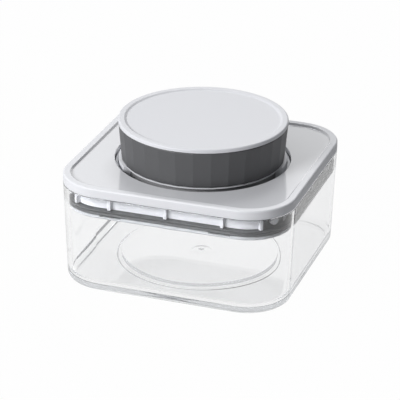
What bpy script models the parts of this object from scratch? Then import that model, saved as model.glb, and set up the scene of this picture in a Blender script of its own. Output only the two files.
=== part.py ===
# A square food canister of clear plastic with a lift-off pump lid.
# Turning the round knob a quarter turn clockwise screws it down into the lid's well: two lugs on
# the knob run in two helical slots, and the piston under the knob is carried along without turning.
# Metres, +Z up. The origin is the centre of the base, on the surface that the canister stands on.
# The rest pose has the lid on and the knob fully raised.

from math import cos, pi, radians, sin

import bmesh
import bpy
from mathutils import Matrix, Vector

for old in list(bpy.data.objects):
    bpy.data.objects.remove(old, do_unlink=True)

# Fits and mesh steps
GAP = 0.0003  # between faces that touch
OVERRUN = 0.001  # of every cut past the face it opens
BITE = 0.0005  # of a shape into the one it is joined to
CORNER_STEPS = 7
ROUND_STEPS = 3
TURN_STEPS = 48
PISTON_STEPS = 36
SMALL_STEPS = 10
QUARTER = radians(90)
SIDES = range(4)

# Tub
TUB_WIDTH = 0.128
TUB_HEIGHT = 0.0547
CORNER_RADIUS = 0.026
DRAFT_SHARE = 0.031
WALL = 0.0024
FLOOR = 0.0028
BASE_ROUND = 0.0036
INNER_ROUND = 0.0045
RIM_ROUND = 0.0006
STACK_CLEARANCE = 0.0007  # of the recess under the base round the knob of a canister below it
RECESS_DEPTH = 0.0014
RECESS_SLOPE = 0.0008
GATE_RADIUS = 0.0063
GATE_TOP_RADIUS = 0.0018
GATE_DEPTH = 0.0005

# Lid moulding
LIP_HEIGHT = 0.0054
LIP_WALL = 0.0028
LIP_ROUND = 0.0015
RIM_WIDTH = 0.0040
PLATE_RECESS = 0.0012
PLATE_THICKNESS = 0.0020
PLATE_MARGIN = 0.0164  # from the lip to the well
WELL_WALL = 0.0019
WELL_EDGE = 0.0005
WELL_BOTTOM_THICKNESS = 0.0018
SKIRT_HEIGHT = 0.0071
SKIRT_WALL = 0.0020
RIB_REACH = 0.0023
RIB_WIDTH = 0.0018
RIB_INSET = 0.007  # of the outer ribs from where the corners begin
POST_ANGLE = radians(35)  # as are the next angles, from the middle of the front or back
TAB_ANGLE = radians(54)
TAB_WIDTH = 0.0045
TAB_THICKNESS = 0.0014
TAB_DROP = 0.0050  # of its rounded end under the lip
WINDOW_START = radians(38.5)
WINDOW_END = radians(80)
BARREL_WALL = 0.0016
BARREL_HEIGHT = 0.019
BOSS_OFFSET = 0.006  # from the corner's centre, along both walls
BOSS_RADIUS = 0.0036

# Gasket
GASKET_HEIGHT = 0.0027
GASKET_REACH = 0.0030  # of its flange past the skirt
GASKET_GROOVE = 0.0005
GASKET_BED = 0.0021  # of it under the skirt
KEY_INSET = 0.008  # of the keys from where the corners begin
KEY_WIDTH = 0.0112
KEY_DROP = 0.0007
KEY_DEPTH = 0.0016
EAR_THICKNESS = 0.0014
EAR_MARGIN = radians(1.0)
EAR_DROP = 0.0006  # of its top under the parting line

# Base frame under the gasket
FRAME_THICKNESS = 0.0019
FRAME_INSET = 0.0003
FRAME_ROUND = 0.0006
UPSTAND_WALL = 0.0016
UPSTAND_HEIGHT = 0.0028
HOOP_WALL = 0.0016
HOOP_HEIGHT = 0.0036

# Screws that hold the base frame
SCREW_RADIUS = 0.0013
SCREW_LENGTH = 0.009
SCREW_HEAD_RADIUS = 0.0029
SCREW_HEAD_HEIGHT = 0.0017
SCREW_SLOT_WIDTH = 0.0007
SCREW_SLOT_DEPTH = 0.0008

# Inlet of the pump
PORT_RADIUS = 0.0014
PORT_CIRCLE = 0.0050
PORT_COUNT = 6
STEM_RADIUS = 0.0015
BULB_RADIUS = 0.0022
BULB_HEIGHT = 0.0010
VALVE_RADIUS = 0.0080
VALVE_THICKNESS = 0.0015
VALVE_EDGE = 0.0006
SOCKET_WALL = 0.0016
SOCKET_HEIGHT = 0.0030
COVER_RADIUS = 0.0131
COVER_WALL = 0.0014
COVER_FLOOR = 0.0012
COVER_FLANGE = 0.0018
COVER_FLANGE_HEIGHT = 0.0010
COVER_SLOT_WIDTH = 0.0016
COVER_SLOT_PITCH = 0.0034
COVER_SLOT_LENGTHS = (0.0120, 0.0160, 0.0175, 0.0160, 0.0120)
FILTER_THICKNESS = 0.0010

# Knob
TRAVEL = 0.010
TURN = radians(90)
END_CLEARANCE = 0.0006
RING_LIFT = 0.0006  # of the grip ring over the lid's plate
RING_HEIGHT = 0.01985
KNOB_CLEARANCE = 0.0018  # of the grip ring in the well
RING_DRAW = 0.0016  # its radius shrinks by this downwards
RING_EDGE = 0.0004
FACETS = 30
RING_FOOT_WALL = 0.0009
SLEEVE_WALL = 0.0020
COLLAR_REACH = 0.0008
COLLAR_HEIGHT = 0.0009
TAIL_INSET = 0.0020  # of the sleeve under the collar
TAIL_WALL = 0.0018
TAIL_LENGTH = 0.0102
DECK_THICKNESS = 0.0020
DISH_RADIUS = 0.0110
DISH_DEPTH = 0.0030
CAP_HEIGHT = 0.00205
CAP_ROUND = 0.0009
CAP_RIM = 0.0036
CAP_RECESS = 0.0008
CAP_SLOPE = 0.0012
CAP_THICKNESS = 0.0015
CAP_SEAT_WALL = 0.0018
CAP_SEAT_HEIGHT = 0.0011

# Lugs and helical slots
LUG_COUNT = 2
LUG_START = radians(19)
LUG_WIDTH = 0.008
LUG_HEIGHT = 0.0026
LUG_LIFT = 0.0020  # of its under side over the sleeve's end
LUG_SPAN = radians(50)  # of the broad block behind each lug's tip
LUG_STEPS = 5
TRACK_WALL = 0.0014
TRACK_DROP = 0.0026  # of its top edge under the lid's plate
TRACK_STEPS = 12
LUG_PLAY = 0.0004
TRACK_KEY_WIDTH = 0.005
TRACK_KEY_HEIGHT = 0.0022

# Piston
PISTON_THICKNESS = 0.0030
PISTON_DEAD_SPACE = 0.0030
SEAL_DEPTH = 0.0024
SEAL_HEIGHT = 0.0018
SEAL_EDGE = 0.0005
HUB_RADIUS = 0.0070
HUB_POCKET_RADIUS = 0.0095
HUB_POCKET_DEPTH = 0.0016
PIN_RADIUS = 0.0025
PIN_LENGTH = 0.0166
PIN_END = 0.0005
PIN_BOSS_HEIGHT = 0.0024
PIN_BOSS_WALL = 0.0016
PIN_SEAT = 0.0012
GUIDE_WALL = 0.0016
VENT_STEM_RADIUS = 0.0012
VENT_VALVE_RADIUS = 0.0055
VENT_VALVE_THICKNESS = 0.0012
VENT_PORT_RADIUS = 0.0011
VENT_PORT_CIRCLE = 0.0036
VENT_PORT_COUNT = 4
PIVOT_RADIUS = 0.0025
PIVOT_CLEARANCE = 0.0005
PIVOT_LENGTH = 0.014
PIVOT_HEAD_RADIUS = 0.0050
PIVOT_HEAD_HEIGHT = 0.0020
PIVOT_HEAD_ROUND = 0.0007
WASHER_RADIUS = 0.0068
WASHER_THICKNESS = 0.0007

# Levels and half widths that follow from the sizes above
STRAIGHT = TUB_WIDTH / 2 - CORNER_RADIUS
RIB_SPACING = STRAIGHT - RIB_INSET
KEY_SPACING = STRAIGHT - KEY_INSET
BOSS_PLACE = STRAIGHT + BOSS_OFFSET
WELL_RADIUS = TUB_WIDTH / 2 - PLATE_MARGIN
RING_TOP_RADIUS = WELL_RADIUS - KNOB_CLEARANCE
RECESS_RADIUS = RING_TOP_RADIUS + STACK_CLEARANCE
SLEEVE_RADIUS = RING_TOP_RADIUS - RING_DRAW - RING_FOOT_WALL - GAP
TAIL_RADIUS = SLEEVE_RADIUS - TAIL_INSET
LIP_BOTTOM = TUB_HEIGHT + GAP
LID_TOP = LIP_BOTTOM + LIP_HEIGHT
PLATE_TOP = LID_TOP - PLATE_RECESS
PLATE_UNDER = PLATE_TOP - PLATE_THICKNESS
SKIRT_BOTTOM = LIP_BOTTOM - SKIRT_HEIGHT
GASKET_TOP = SKIRT_BOTTOM - GAP
GASKET_BOTTOM = GASKET_TOP - GASKET_HEIGHT
FRAME_TOP = GASKET_BOTTOM - GAP
FRAME_BOTTOM = FRAME_TOP - FRAME_THICKNESS

RING_BOTTOM = PLATE_TOP + RING_LIFT
RING_TOP = RING_BOTTOM + RING_HEIGHT
CAP_BOTTOM = RING_TOP + GAP
CAP_TOP = CAP_BOTTOM + CAP_HEIGHT
TAIL_BOTTOM = RING_BOTTOM - TAIL_LENGTH
WELL_FLOOR = TAIL_BOTTOM - TRAVEL - END_CLEARANCE
WELL_BOTTOM = WELL_FLOOR - WELL_BOTTOM_THICKNESS
DRUM_RADIUS = WELL_RADIUS + WELL_WALL
TAIL_BORE = TAIL_RADIUS - TAIL_WALL
BARREL_OUTSIDE = TAIL_BORE - 2 * GAP
BARREL_BORE = BARREL_OUTSIDE - BARREL_WALL
BARREL_TOP = WELL_FLOOR + BARREL_HEIGHT
TRACK_OUTSIDE = WELL_RADIUS - GAP
TRACK_BORE = TRACK_OUTSIDE - TRACK_WALL
TRACK_TOP = PLATE_TOP - TRACK_DROP
LUG_TIP = TRACK_OUTSIDE - GAP
BLOCK_RADIUS = TRACK_BORE - GAP
LUG_BOTTOM = TAIL_BOTTOM + LUG_LIFT
LUG_TOP = LUG_BOTTOM + LUG_HEIGHT
DECK_TOP = CAP_BOTTOM - CAP_SEAT_HEIGHT - GAP
DISH_TOP = DECK_TOP - DISH_DEPTH
DISH_BOTTOM = DISH_TOP - DECK_THICKNESS
HUB_TOP = DISH_BOTTOM - GAP
PISTON_BOTTOM = WELL_FLOOR + TRAVEL + PISTON_DEAD_SPACE
PISTON_TOP = PISTON_BOTTOM + PISTON_THICKNESS
PISTON_RADIUS = BARREL_BORE - 2 * GAP
SEAL_BED_RADIUS = PISTON_RADIUS - SEAL_DEPTH
PIN_PLACE = (HUB_RADIUS + SEAL_BED_RADIUS) / 2
VENT_PLACE = PIN_PLACE


def tub_half(z):
    # The tub's outer half width at a height: its walls draw in downwards.
    return TUB_WIDTH / 2 - DRAFT_SHARE * (TUB_HEIGHT - z)


GASKET_HALF = tub_half(GASKET_BOTTOM) - WALL - GAP
SKIRT_HALF = GASKET_HALF - GASKET_REACH
SKIRT_INNER_HALF = SKIRT_HALF - SKIRT_WALL
BED_HALF = SKIRT_HALF - GASKET_BED
FRAME_HALF = GASKET_HALF - FRAME_INSET


def material(name, colour, roughness, metallic=0.0, transmission=0.0):
    made = bpy.data.materials.new(name)
    made.use_nodes = True
    shader = made.node_tree.nodes["Principled BSDF"]
    shader.inputs["Base Color"].default_value = (*colour, 1.0)
    shader.inputs["Roughness"].default_value = roughness
    shader.inputs["Metallic"].default_value = metallic
    shader.inputs["Transmission Weight"].default_value = transmission
    return made


def new_object(name, bm):
    # Closes a bmesh into a named object with its faces pointing out.
    bmesh.ops.recalc_face_normals(bm, faces=bm.faces)
    mesh = bpy.data.meshes.new(name)
    bm.to_mesh(mesh)
    bm.free()
    made = bpy.data.objects.new(name, mesh)
    bpy.context.scene.collection.objects.link(made)
    return made


def finish(piece, surface, smooth_angle=radians(35)):
    piece.data.materials.clear()
    piece.data.materials.append(surface)
    piece.data.shade_smooth()
    piece.data.set_sharp_from_angle(angle=smooth_angle)
    return piece


def helper(piece):
    piece.hide_render = True
    piece.display_type = "WIRE"
    return piece


def combine(target, operand, operation):
    step = target.modifiers.new(f"{operation} {operand.name}", "BOOLEAN")
    step.operation = operation
    step.solver = "EXACT"
    step.object = helper(operand)
    return target


def cut(target, *operands):
    for operand in operands:
        combine(target, operand, "DIFFERENCE")
    return target


def join(target, *operands):
    for operand in operands:
        combine(target, operand, "UNION")
    return target


def outline(half):
    # A rounded square whose corners stay concentric with the tub's.
    radius = half - STRAIGHT
    points = []
    for side in SIDES:
        centre = Vector((STRAIGHT, STRAIGHT, 0))
        for step in range(CORNER_STEPS + 1):
            angle = QUARTER * step / CORNER_STEPS
            point = centre + radius * Vector((cos(angle), sin(angle), 0))
            points.append(Matrix.Rotation(side * QUARTER, 3, "Z") @ point)
    return points


def merged(name, pieces):
    # One helper holding several separate shapes, so that a single Boolean handles them.
    bm = bmesh.new()
    for piece in pieces:
        bm.from_mesh(piece.data)
        bpy.data.objects.remove(piece, do_unlink=True)
    return new_object(name, bm)


def skinned(name, loops, ring=False):
    # Joins loops of equally many points by quads. A ring closes on itself, any other stack on its ends.
    bm = bmesh.new()
    rows = [[bm.verts.new(point) for point in loop] for loop in loops]
    pairs = list(zip(rows, rows[1:]))
    if ring:
        pairs.append((rows[-1], rows[0]))
    else:
        bm.faces.new(rows[0])
        bm.faces.new(rows[-1])
    for low, high in pairs:
        for i in range(len(low)):
            bm.faces.new((low[i - 1], low[i], high[i], high[i - 1]))
    return new_object(name, bm)


def square_stack(name, levels, ring=False):
    # Skins rounded squares given as (half width, height).
    loops = [[point + Vector((0, 0, z)) for point in outline(half)] for half, z in levels]
    return skinned(name, loops, ring)


def turned(name, profile, steps=TURN_STEPS, centre=(0, 0)):
    # Spins a (radius, height) profile about the vertical through centre.
    # Where the profile meets the axis, a flat face closes it.
    bm = bmesh.new()
    start = Matrix.Rotation(pi / steps, 3, "Z")
    verts = [bm.verts.new(start @ Vector((radius, 0, z))) for radius, z in profile if radius > 0]
    edges = [bm.edges.new(pair) for pair in zip(verts, verts[1:])]
    if len(verts) == len(profile):
        edges.append(bm.edges.new((verts[-1], verts[0])))
    bmesh.ops.spin(
        bm, geom=edges, cent=(0, 0, 0), axis=(0, 0, 1), angle=2 * pi, steps=steps, use_merge=True
    )
    bmesh.ops.holes_fill(bm, edges=[edge for edge in bm.edges if edge.is_boundary], sides=0)
    bmesh.ops.translate(bm, verts=bm.verts, vec=(*centre, 0))
    return new_object(name, bm)


def rod(name, radius, low, high, centre=(0, 0), steps=SMALL_STEPS):
    return turned(name, [(0, high), (radius, high), (radius, low), (0, low)], steps, centre)


def rods(name, radius, low, high, places):
    return merged(name, [rod("rod", radius, low, high, place) for place in places])


def arc(centre_r, centre_z, radius, start, end, steps=ROUND_STEPS):
    # Points of a rounded edge in a (radius, height) profile.
    angles = [start + (end - start) * i / steps for i in range(steps + 1)]
    return [(centre_r + radius * cos(a), centre_z + radius * sin(a)) for a in angles]


def prism(name, points, depth, frame):
    # Extrudes an outline in the frame's XY plane by depth along the frame's Z.
    bm = bmesh.new()
    face = bm.faces.new([bm.verts.new((x, y, 0)) for x, y in points])
    grown = bmesh.ops.extrude_face_region(bm, geom=[face])["geom"]
    tops = [item for item in grown if isinstance(item, bmesh.types.BMVert)]
    bmesh.ops.translate(bm, verts=tops, vec=(0, 0, depth))
    bmesh.ops.transform(bm, matrix=frame, verts=bm.verts)
    return new_object(name, bm)


def box_points(width, height):
    return [(-width / 2, 0), (width / 2, 0), (width / 2, height), (-width / 2, height)]


def wall_frame(side, along, angle, half, z):
    # X runs along the wall, Y up and Z outwards, from a point on the rounded square of that half width.
    radius = half - STRAIGHT
    if angle:
        place = Vector((STRAIGHT + radius * sin(angle), -STRAIGHT - radius * cos(angle), z))
    else:
        place = Vector((along, -half, z))
    upright = Matrix.Rotation(QUARTER, 4, "X")
    turn = Matrix.Rotation(side * QUARTER, 4, "Z")
    return turn @ Matrix.Translation(place) @ Matrix.Rotation(angle, 4, "Z") @ upright


def radial_frame(angle, width):
    # X runs outwards at an angle and Y up. A prism of that width is centred on the angle.
    upright = Matrix.Rotation(QUARTER, 4, "X")
    return Matrix.Rotation(angle, 4, "Z") @ Matrix.Translation((0, width / 2, 0)) @ upright


def radial_block(angle, inside, outside, low, high, width):
    points = [(inside, low), (outside, low), (outside, high), (inside, high)]
    return prism("radial block", points, width, radial_frame(angle, width))


def lug_angles():
    return [LUG_START + 2 * pi * i / LUG_COUNT for i in range(LUG_COUNT)]


def track_key_angles():
    # Between the ends of the slots, where the track's wall is whole down to its foot.
    return [LUG_START - TURN / 2 + pi * i for i in range(2)]


def mirrored(side, angle):
    # The corners mirror each other, so every other one is measured from its far side.
    return QUARTER - angle if side % 2 else angle


def corner_block(name, side, inner, outer, start, end, low, high):
    # A wall that follows one corner between two angles, between two half widths and two heights.
    start, end = mirrored(side, start), mirrored(side, end)
    angles = [start + (end - start) * i / CORNER_STEPS for i in range(CORNER_STEPS + 1)]
    ring = [(outer - STRAIGHT, a) for a in angles] + [(inner - STRAIGHT, a) for a in reversed(angles)]
    points = [(STRAIGHT + radius * sin(a), -STRAIGHT - radius * cos(a)) for radius, a in ring]
    frame = Matrix.Rotation(side * QUARTER, 4, "Z") @ Matrix.Translation((0, 0, low))
    return prism(name, points, high - low, frame)


def round_places(count, circle, start=0.0):
    return [
        (circle * cos(start + 2 * pi * i / count), circle * sin(start + 2 * pi * i / count))
        for i in range(count)
    ]


def corner_places(place):
    return [(x * place, y * place) for x in (-1, 1) for y in (-1, 1)]


CLEAR = material("clear plastic", (0.93, 0.95, 0.96), 0.04, transmission=1.0)
WHITE = material("white plastic", (0.80, 0.81, 0.84), 0.22)
MATT_WHITE = material("matt white plastic", (0.76, 0.77, 0.80), 0.45)
GRIP_GREY = material("dark grey grip", (0.11, 0.11, 0.12), 0.5)
SEAL_GREY = material("grey silicone", (0.17, 0.18, 0.19), 0.55)
VALVE_CLEAR = material("pale silicone", (0.72, 0.74, 0.76), 0.5)
STEEL = material("steel", (0.56, 0.57, 0.58), 0.3, metallic=1.0)
FELT = material("filter felt", (0.62, 0.63, 0.62), 0.9)


def make_tub():
    base_half = tub_half(0)
    inner_floor_half = tub_half(FLOOR) - WALL
    shoulder = arc(base_half - BASE_ROUND, BASE_ROUND, BASE_ROUND, -QUARTER, 0)
    top_half = tub_half(TUB_HEIGHT)
    rim_z = TUB_HEIGHT - RIM_ROUND
    outer_rim = arc(top_half - RIM_ROUND, rim_z, RIM_ROUND, 0, QUARTER, 2)
    inner_rim = arc(top_half - WALL + RIM_ROUND, rim_z, RIM_ROUND, QUARTER, 2 * QUARTER, 2)
    hollow = arc(inner_floor_half - INNER_ROUND, FLOOR + INNER_ROUND, INNER_ROUND, 0, -QUARTER)
    tub = square_stack("tub", shoulder + outer_rim + inner_rim + hollow)
    recess_top = RECESS_RADIUS - RECESS_SLOPE
    recess = turned(
        "stacking recess",
        [
            (0, RECESS_DEPTH),
            (recess_top, RECESS_DEPTH),
            (RECESS_RADIUS, 0),
            (RECESS_RADIUS, -OVERRUN),
            (0, -OVERRUN),
        ],
    )
    step_radius = RECESS_RADIUS - WALL
    step_top = FLOOR + RECESS_DEPTH
    step = turned(
        "floor step",
        [
            (0, step_top),
            (step_radius - RECESS_SLOPE, step_top),
            (step_radius, FLOOR),
            (step_radius, FLOOR - BITE),
            (0, FLOOR - BITE),
        ],
    )
    gate_top = RECESS_DEPTH + GATE_DEPTH
    gate_low = RECESS_DEPTH - BITE
    gate = turned(
        "gate dimple",
        [(0, gate_top), (GATE_TOP_RADIUS, gate_top), (GATE_RADIUS, gate_low), (0, gate_low)],
        SMALL_STEPS,
    )
    join(tub, step)
    cut(tub, recess, gate)
    return finish(tub, CLEAR)


def make_lid_shell():
    half = TUB_WIDTH / 2
    top_edge = arc(half - LIP_ROUND, LID_TOP - LIP_ROUND, LIP_ROUND, 0, QUARTER, 3)
    rim_inside = half - RIM_WIDTH
    levels = [
        (half - LIP_WALL, PLATE_UNDER),
        (half - LIP_WALL, LIP_BOTTOM),
        (half - RIM_ROUND, LIP_BOTTOM),
        (half, LIP_BOTTOM + RIM_ROUND),
        *top_edge,
        (rim_inside + LIP_ROUND, LID_TOP),
        (rim_inside, LID_TOP - LIP_ROUND / 2),
        (rim_inside - LIP_ROUND / 2, PLATE_TOP),
    ]
    shell = square_stack("lid_shell", levels)
    drum = rod("drum", DRUM_RADIUS, WELL_BOTTOM, PLATE_TOP - BITE, steps=TURN_STEPS)
    bore = turned(
        "well bore",
        [
            (0, LID_TOP + OVERRUN),
            (WELL_RADIUS + WELL_EDGE + PLATE_RECESS + OVERRUN, LID_TOP + OVERRUN),
            (WELL_RADIUS + WELL_EDGE, PLATE_TOP),
            (WELL_RADIUS, PLATE_TOP - WELL_EDGE),
            (WELL_RADIUS, WELL_FLOOR),
            (BARREL_OUTSIDE, WELL_FLOOR),
            (BARREL_OUTSIDE, BARREL_TOP),
            (BARREL_BORE, BARREL_TOP),
            (BARREL_BORE, WELL_FLOOR),
            (0, WELL_FLOOR),
        ],
    )
    skirt = square_stack(
        "skirt",
        [
            (SKIRT_INNER_HALF, PLATE_UNDER + BITE),
            (SKIRT_INNER_HALF, SKIRT_BOTTOM),
            (SKIRT_HALF, SKIRT_BOTTOM),
            (SKIRT_HALF, PLATE_UNDER + BITE),
        ],
        ring=True,
    )
    boss_places = corner_places(BOSS_PLACE)
    windows = merged("skirt windows", [skirt_window(side) for side in SIDES])
    ribs = merged("skirt ribs", [rib for side in SIDES for rib in skirt_ribs(side)])
    tabs = merged("corner tabs", [corner_tab(side) for side in SIDES])
    bosses = rods("screw bosses", BOSS_RADIUS, FRAME_TOP + GAP, PLATE_UNDER + BITE, boss_places)
    pilots = rods(
        "screw pilots",
        SCREW_RADIUS + GAP,
        FRAME_TOP - OVERRUN,
        FRAME_BOTTOM + SCREW_LENGTH + GAP,
        boss_places,
    )
    pin_radius = PIN_RADIUS + GAP
    boss_top = WELL_FLOOR + PIN_BOSS_HEIGHT
    pin_places = round_places(2, PIN_PLACE)
    pin_bosses = rods("pin bosses", pin_radius + PIN_BOSS_WALL, WELL_FLOOR - BITE, boss_top, pin_places)
    pin_holes = rods("pin holes", pin_radius, WELL_FLOOR - PIN_SEAT, boss_top + OVERRUN, pin_places)
    socket_radius = COVER_RADIUS + GAP
    socket = turned(
        "cover socket",
        [
            (socket_radius + SOCKET_WALL, WELL_BOTTOM + BITE),
            (socket_radius + SOCKET_WALL, WELL_BOTTOM - SOCKET_HEIGHT),
            (socket_radius, WELL_BOTTOM - SOCKET_HEIGHT),
            (socket_radius, WELL_BOTTOM + BITE),
        ],
        SMALL_STEPS * 2,
    )
    port_span = (WELL_BOTTOM - OVERRUN, WELL_FLOOR + OVERRUN)
    ports = rods("inlet ports", PORT_RADIUS, *port_span, round_places(PORT_COUNT, PORT_CIRCLE))
    stem_hole = rod("stem hole", STEM_RADIUS + GAP, *port_span)
    join(shell, drum)
    cut(shell, bore)
    cut(skirt, windows)
    key_span = (WELL_FLOOR - BITE, WELL_FLOOR + TRACK_KEY_HEIGHT)
    keys = [
        radial_block(angle, TRACK_BORE, WELL_RADIUS + BITE, *key_span, TRACK_KEY_WIDTH)
        for angle in track_key_angles()
    ]
    join(shell, skirt, ribs, tabs, bosses, pin_bosses, socket, merged("track keys", keys))
    cut(shell, pilots, pin_holes, ports, stem_hole)
    return finish(shell, WHITE)


def skirt_window(side):
    inner, outer = SKIRT_INNER_HALF - OVERRUN, SKIRT_HALF + OVERRUN
    low, high = SKIRT_BOTTOM - OVERRUN, PLATE_UNDER + OVERRUN
    return corner_block("window", side, inner, outer, WINDOW_START, WINDOW_END, low, high)


def skirt_ribs(side):
    # Three ribs that centre the plug in the tub, and the post beside the corner window.
    depth = RIB_REACH + SKIRT_WALL / 2
    start_half = SKIRT_HALF - SKIRT_WALL / 2
    height = PLATE_UNDER + BITE - SKIRT_BOTTOM
    frames = [
        wall_frame(side, along, angle, start_half, SKIRT_BOTTOM)
        for along, angle in (
            (-RIB_SPACING, 0),
            (0, 0),
            (RIB_SPACING, 0),
            (0, mirrored(side, POST_ANGLE)),
        )
    ]
    return [prism("rib", box_points(RIB_WIDTH, height), depth, frame) for frame in frames]


def corner_tab(side):
    # A springy finger with a round end that hangs before the corner window.
    radius = TAB_WIDTH / 2
    low = LIP_BOTTOM - TAB_DROP
    end = arc(0, radius, radius, -2 * QUARTER, 0, ROUND_STEPS * 2)
    top = PLATE_UNDER + BITE - low
    half = SKIRT_HALF + RIB_REACH - TAB_THICKNESS
    frame = wall_frame(side, 0, mirrored(side, TAB_ANGLE), half, low)
    return prism("tab", end + [(radius, top), (-radius, top)], TAB_THICKNESS, frame)


def key_frames(half, z):
    # Of the gasket's two keys on each side, at a half width and a height.
    places = [(side, along) for side in SIDES for along in (-KEY_SPACING, KEY_SPACING)]
    return [wall_frame(side, along, 0, half, z) for side, along in places]


def make_gasket():
    middle = (GASKET_TOP + GASKET_BOTTOM) / 2
    edge = GASKET_GROOVE
    levels = [
        (BED_HALF, GASKET_TOP),
        (BED_HALF, GASKET_BOTTOM),
        (GASKET_HALF - edge, GASKET_BOTTOM),
        (GASKET_HALF, GASKET_BOTTOM + edge),
        (GASKET_HALF - edge, middle),
        (GASKET_HALF, GASKET_TOP - edge),
        (GASKET_HALF - edge, GASKET_TOP),
    ]
    gasket = square_stack("gasket", levels, ring=True)
    key_half = GASKET_HALF - 2 * edge - KEY_DEPTH
    keys = [
        prism("key", box_points(KEY_WIDTH, KEY_DROP + BITE), KEY_DEPTH, frame)
        for frame in key_frames(key_half, GASKET_BOTTOM - KEY_DROP)
    ]
    ears = [
        corner_block(
            "ear",
            side,
            SKIRT_HALF - EAR_THICKNESS,
            SKIRT_HALF,
            WINDOW_START + EAR_MARGIN,
            WINDOW_END - EAR_MARGIN,
            GASKET_TOP - BITE,
            LIP_BOTTOM - EAR_DROP,
        )
        for side in SIDES
    ]
    join(gasket, merged("gasket keys", keys), merged("gasket ears", ears))
    return finish(gasket, SEAL_GREY)


def make_base_frame():
    # Holds the gasket from below. Its hoop goes round the lid's drum.
    frame = square_stack(
        "base_frame",
        [
            (FRAME_HALF - FRAME_ROUND, FRAME_BOTTOM),
            (FRAME_HALF, FRAME_BOTTOM + FRAME_ROUND),
            (FRAME_HALF, FRAME_TOP),
        ],
    )
    upstand_half = BED_HALF - GAP
    upstand = square_stack(
        "frame upstand",
        [
            (upstand_half - UPSTAND_WALL, FRAME_TOP + UPSTAND_HEIGHT),
            (upstand_half - UPSTAND_WALL, FRAME_TOP - BITE),
            (upstand_half, FRAME_TOP - BITE),
            (upstand_half, FRAME_TOP + UPSTAND_HEIGHT),
        ],
        ring=True,
    )
    hole_radius = DRUM_RADIUS + GAP
    hoop_top = FRAME_TOP + HOOP_HEIGHT
    hoop = rod("hoop", hole_radius + HOOP_WALL, FRAME_TOP - BITE, hoop_top, steps=TURN_STEPS)
    hole = rod("drum hole", hole_radius, FRAME_BOTTOM - OVERRUN, hoop_top + OVERRUN, steps=TURN_STEPS)
    screw_radius = SCREW_RADIUS + GAP
    screw_span = (FRAME_BOTTOM - OVERRUN, FRAME_TOP + OVERRUN)
    screw_holes = rods("screw holes", screw_radius, *screw_span, corner_places(BOSS_PLACE))
    notch_half = GASKET_HALF - 2 * GASKET_GROOVE - KEY_DEPTH - GAP
    notch_points = box_points(KEY_WIDTH + 2 * GAP, KEY_DROP + OVERRUN)
    notches = [
        prism("notch", notch_points, KEY_DEPTH + OVERRUN, frame_of_key)
        for frame_of_key in key_frames(notch_half, GASKET_BOTTOM - KEY_DROP - GAP)
    ]
    join(frame, upstand, hoop)
    cut(frame, hole, screw_holes, merged("key notches", notches))
    return finish(frame, MATT_WHITE)


def make_base_screws():
    head_top = FRAME_BOTTOM - GAP
    head_bottom = head_top - SCREW_HEAD_HEIGHT
    profile = [
        (0, FRAME_BOTTOM + SCREW_LENGTH),
        (SCREW_RADIUS / 2, FRAME_BOTTOM + SCREW_LENGTH),
        (SCREW_RADIUS, FRAME_BOTTOM + SCREW_LENGTH - SCREW_RADIUS),
        (SCREW_RADIUS, head_top),
        (SCREW_HEAD_RADIUS, head_top),
        (SCREW_HEAD_RADIUS, head_bottom + SCREW_HEAD_HEIGHT / 2),
        (SCREW_HEAD_RADIUS * 2 / 3, head_bottom),
        (0, head_bottom),
    ]
    for number, place in enumerate(corner_places(BOSS_PLACE), 1):
        screw = turned(f"base_screw_{number}", profile, SMALL_STEPS, place)
        cut(screw, *[screw_slot(number, place, turn, head_bottom) for turn in (0, QUARTER)])
        finish(screw, STEEL)


def screw_slot(number, place, turn, head_bottom):
    length = SCREW_HEAD_RADIUS
    points = [(-length, 0), (length, 0), (length, SCREW_SLOT_WIDTH), (-length, SCREW_SLOT_WIDTH)]
    shift = Matrix.Translation((0, -SCREW_SLOT_WIDTH / 2, -OVERRUN))
    frame = Matrix.Translation((*place, head_bottom)) @ Matrix.Rotation(turn, 4, "Z") @ shift
    return prism(f"slot {number}", points, SCREW_SLOT_DEPTH + OVERRUN, frame)


def umbrella(name, centre, radius, thickness, stem_radius, seat, under):
    # A one-way valve: a thin domed disc on its seat, a stem through it and a bulb that keeps it there.
    low = seat + GAP
    bulb_top = under - GAP
    bulb_radius = stem_radius + BULB_RADIUS - STEM_RADIUS
    profile = [
        (0, low + thickness),
        (radius / 3, low + thickness),
        (radius * 2 / 3, low + thickness * 3 / 4),
        (radius, low + VALVE_EDGE),
        (radius, low),
        (stem_radius, low),
        (stem_radius, bulb_top),
        (bulb_radius, bulb_top),
        (stem_radius, bulb_top - BULB_HEIGHT),
        (0, bulb_top - BULB_HEIGHT),
    ]
    return finish(turned(name, profile, SMALL_STEPS, centre), VALVE_CLEAR)


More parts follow.
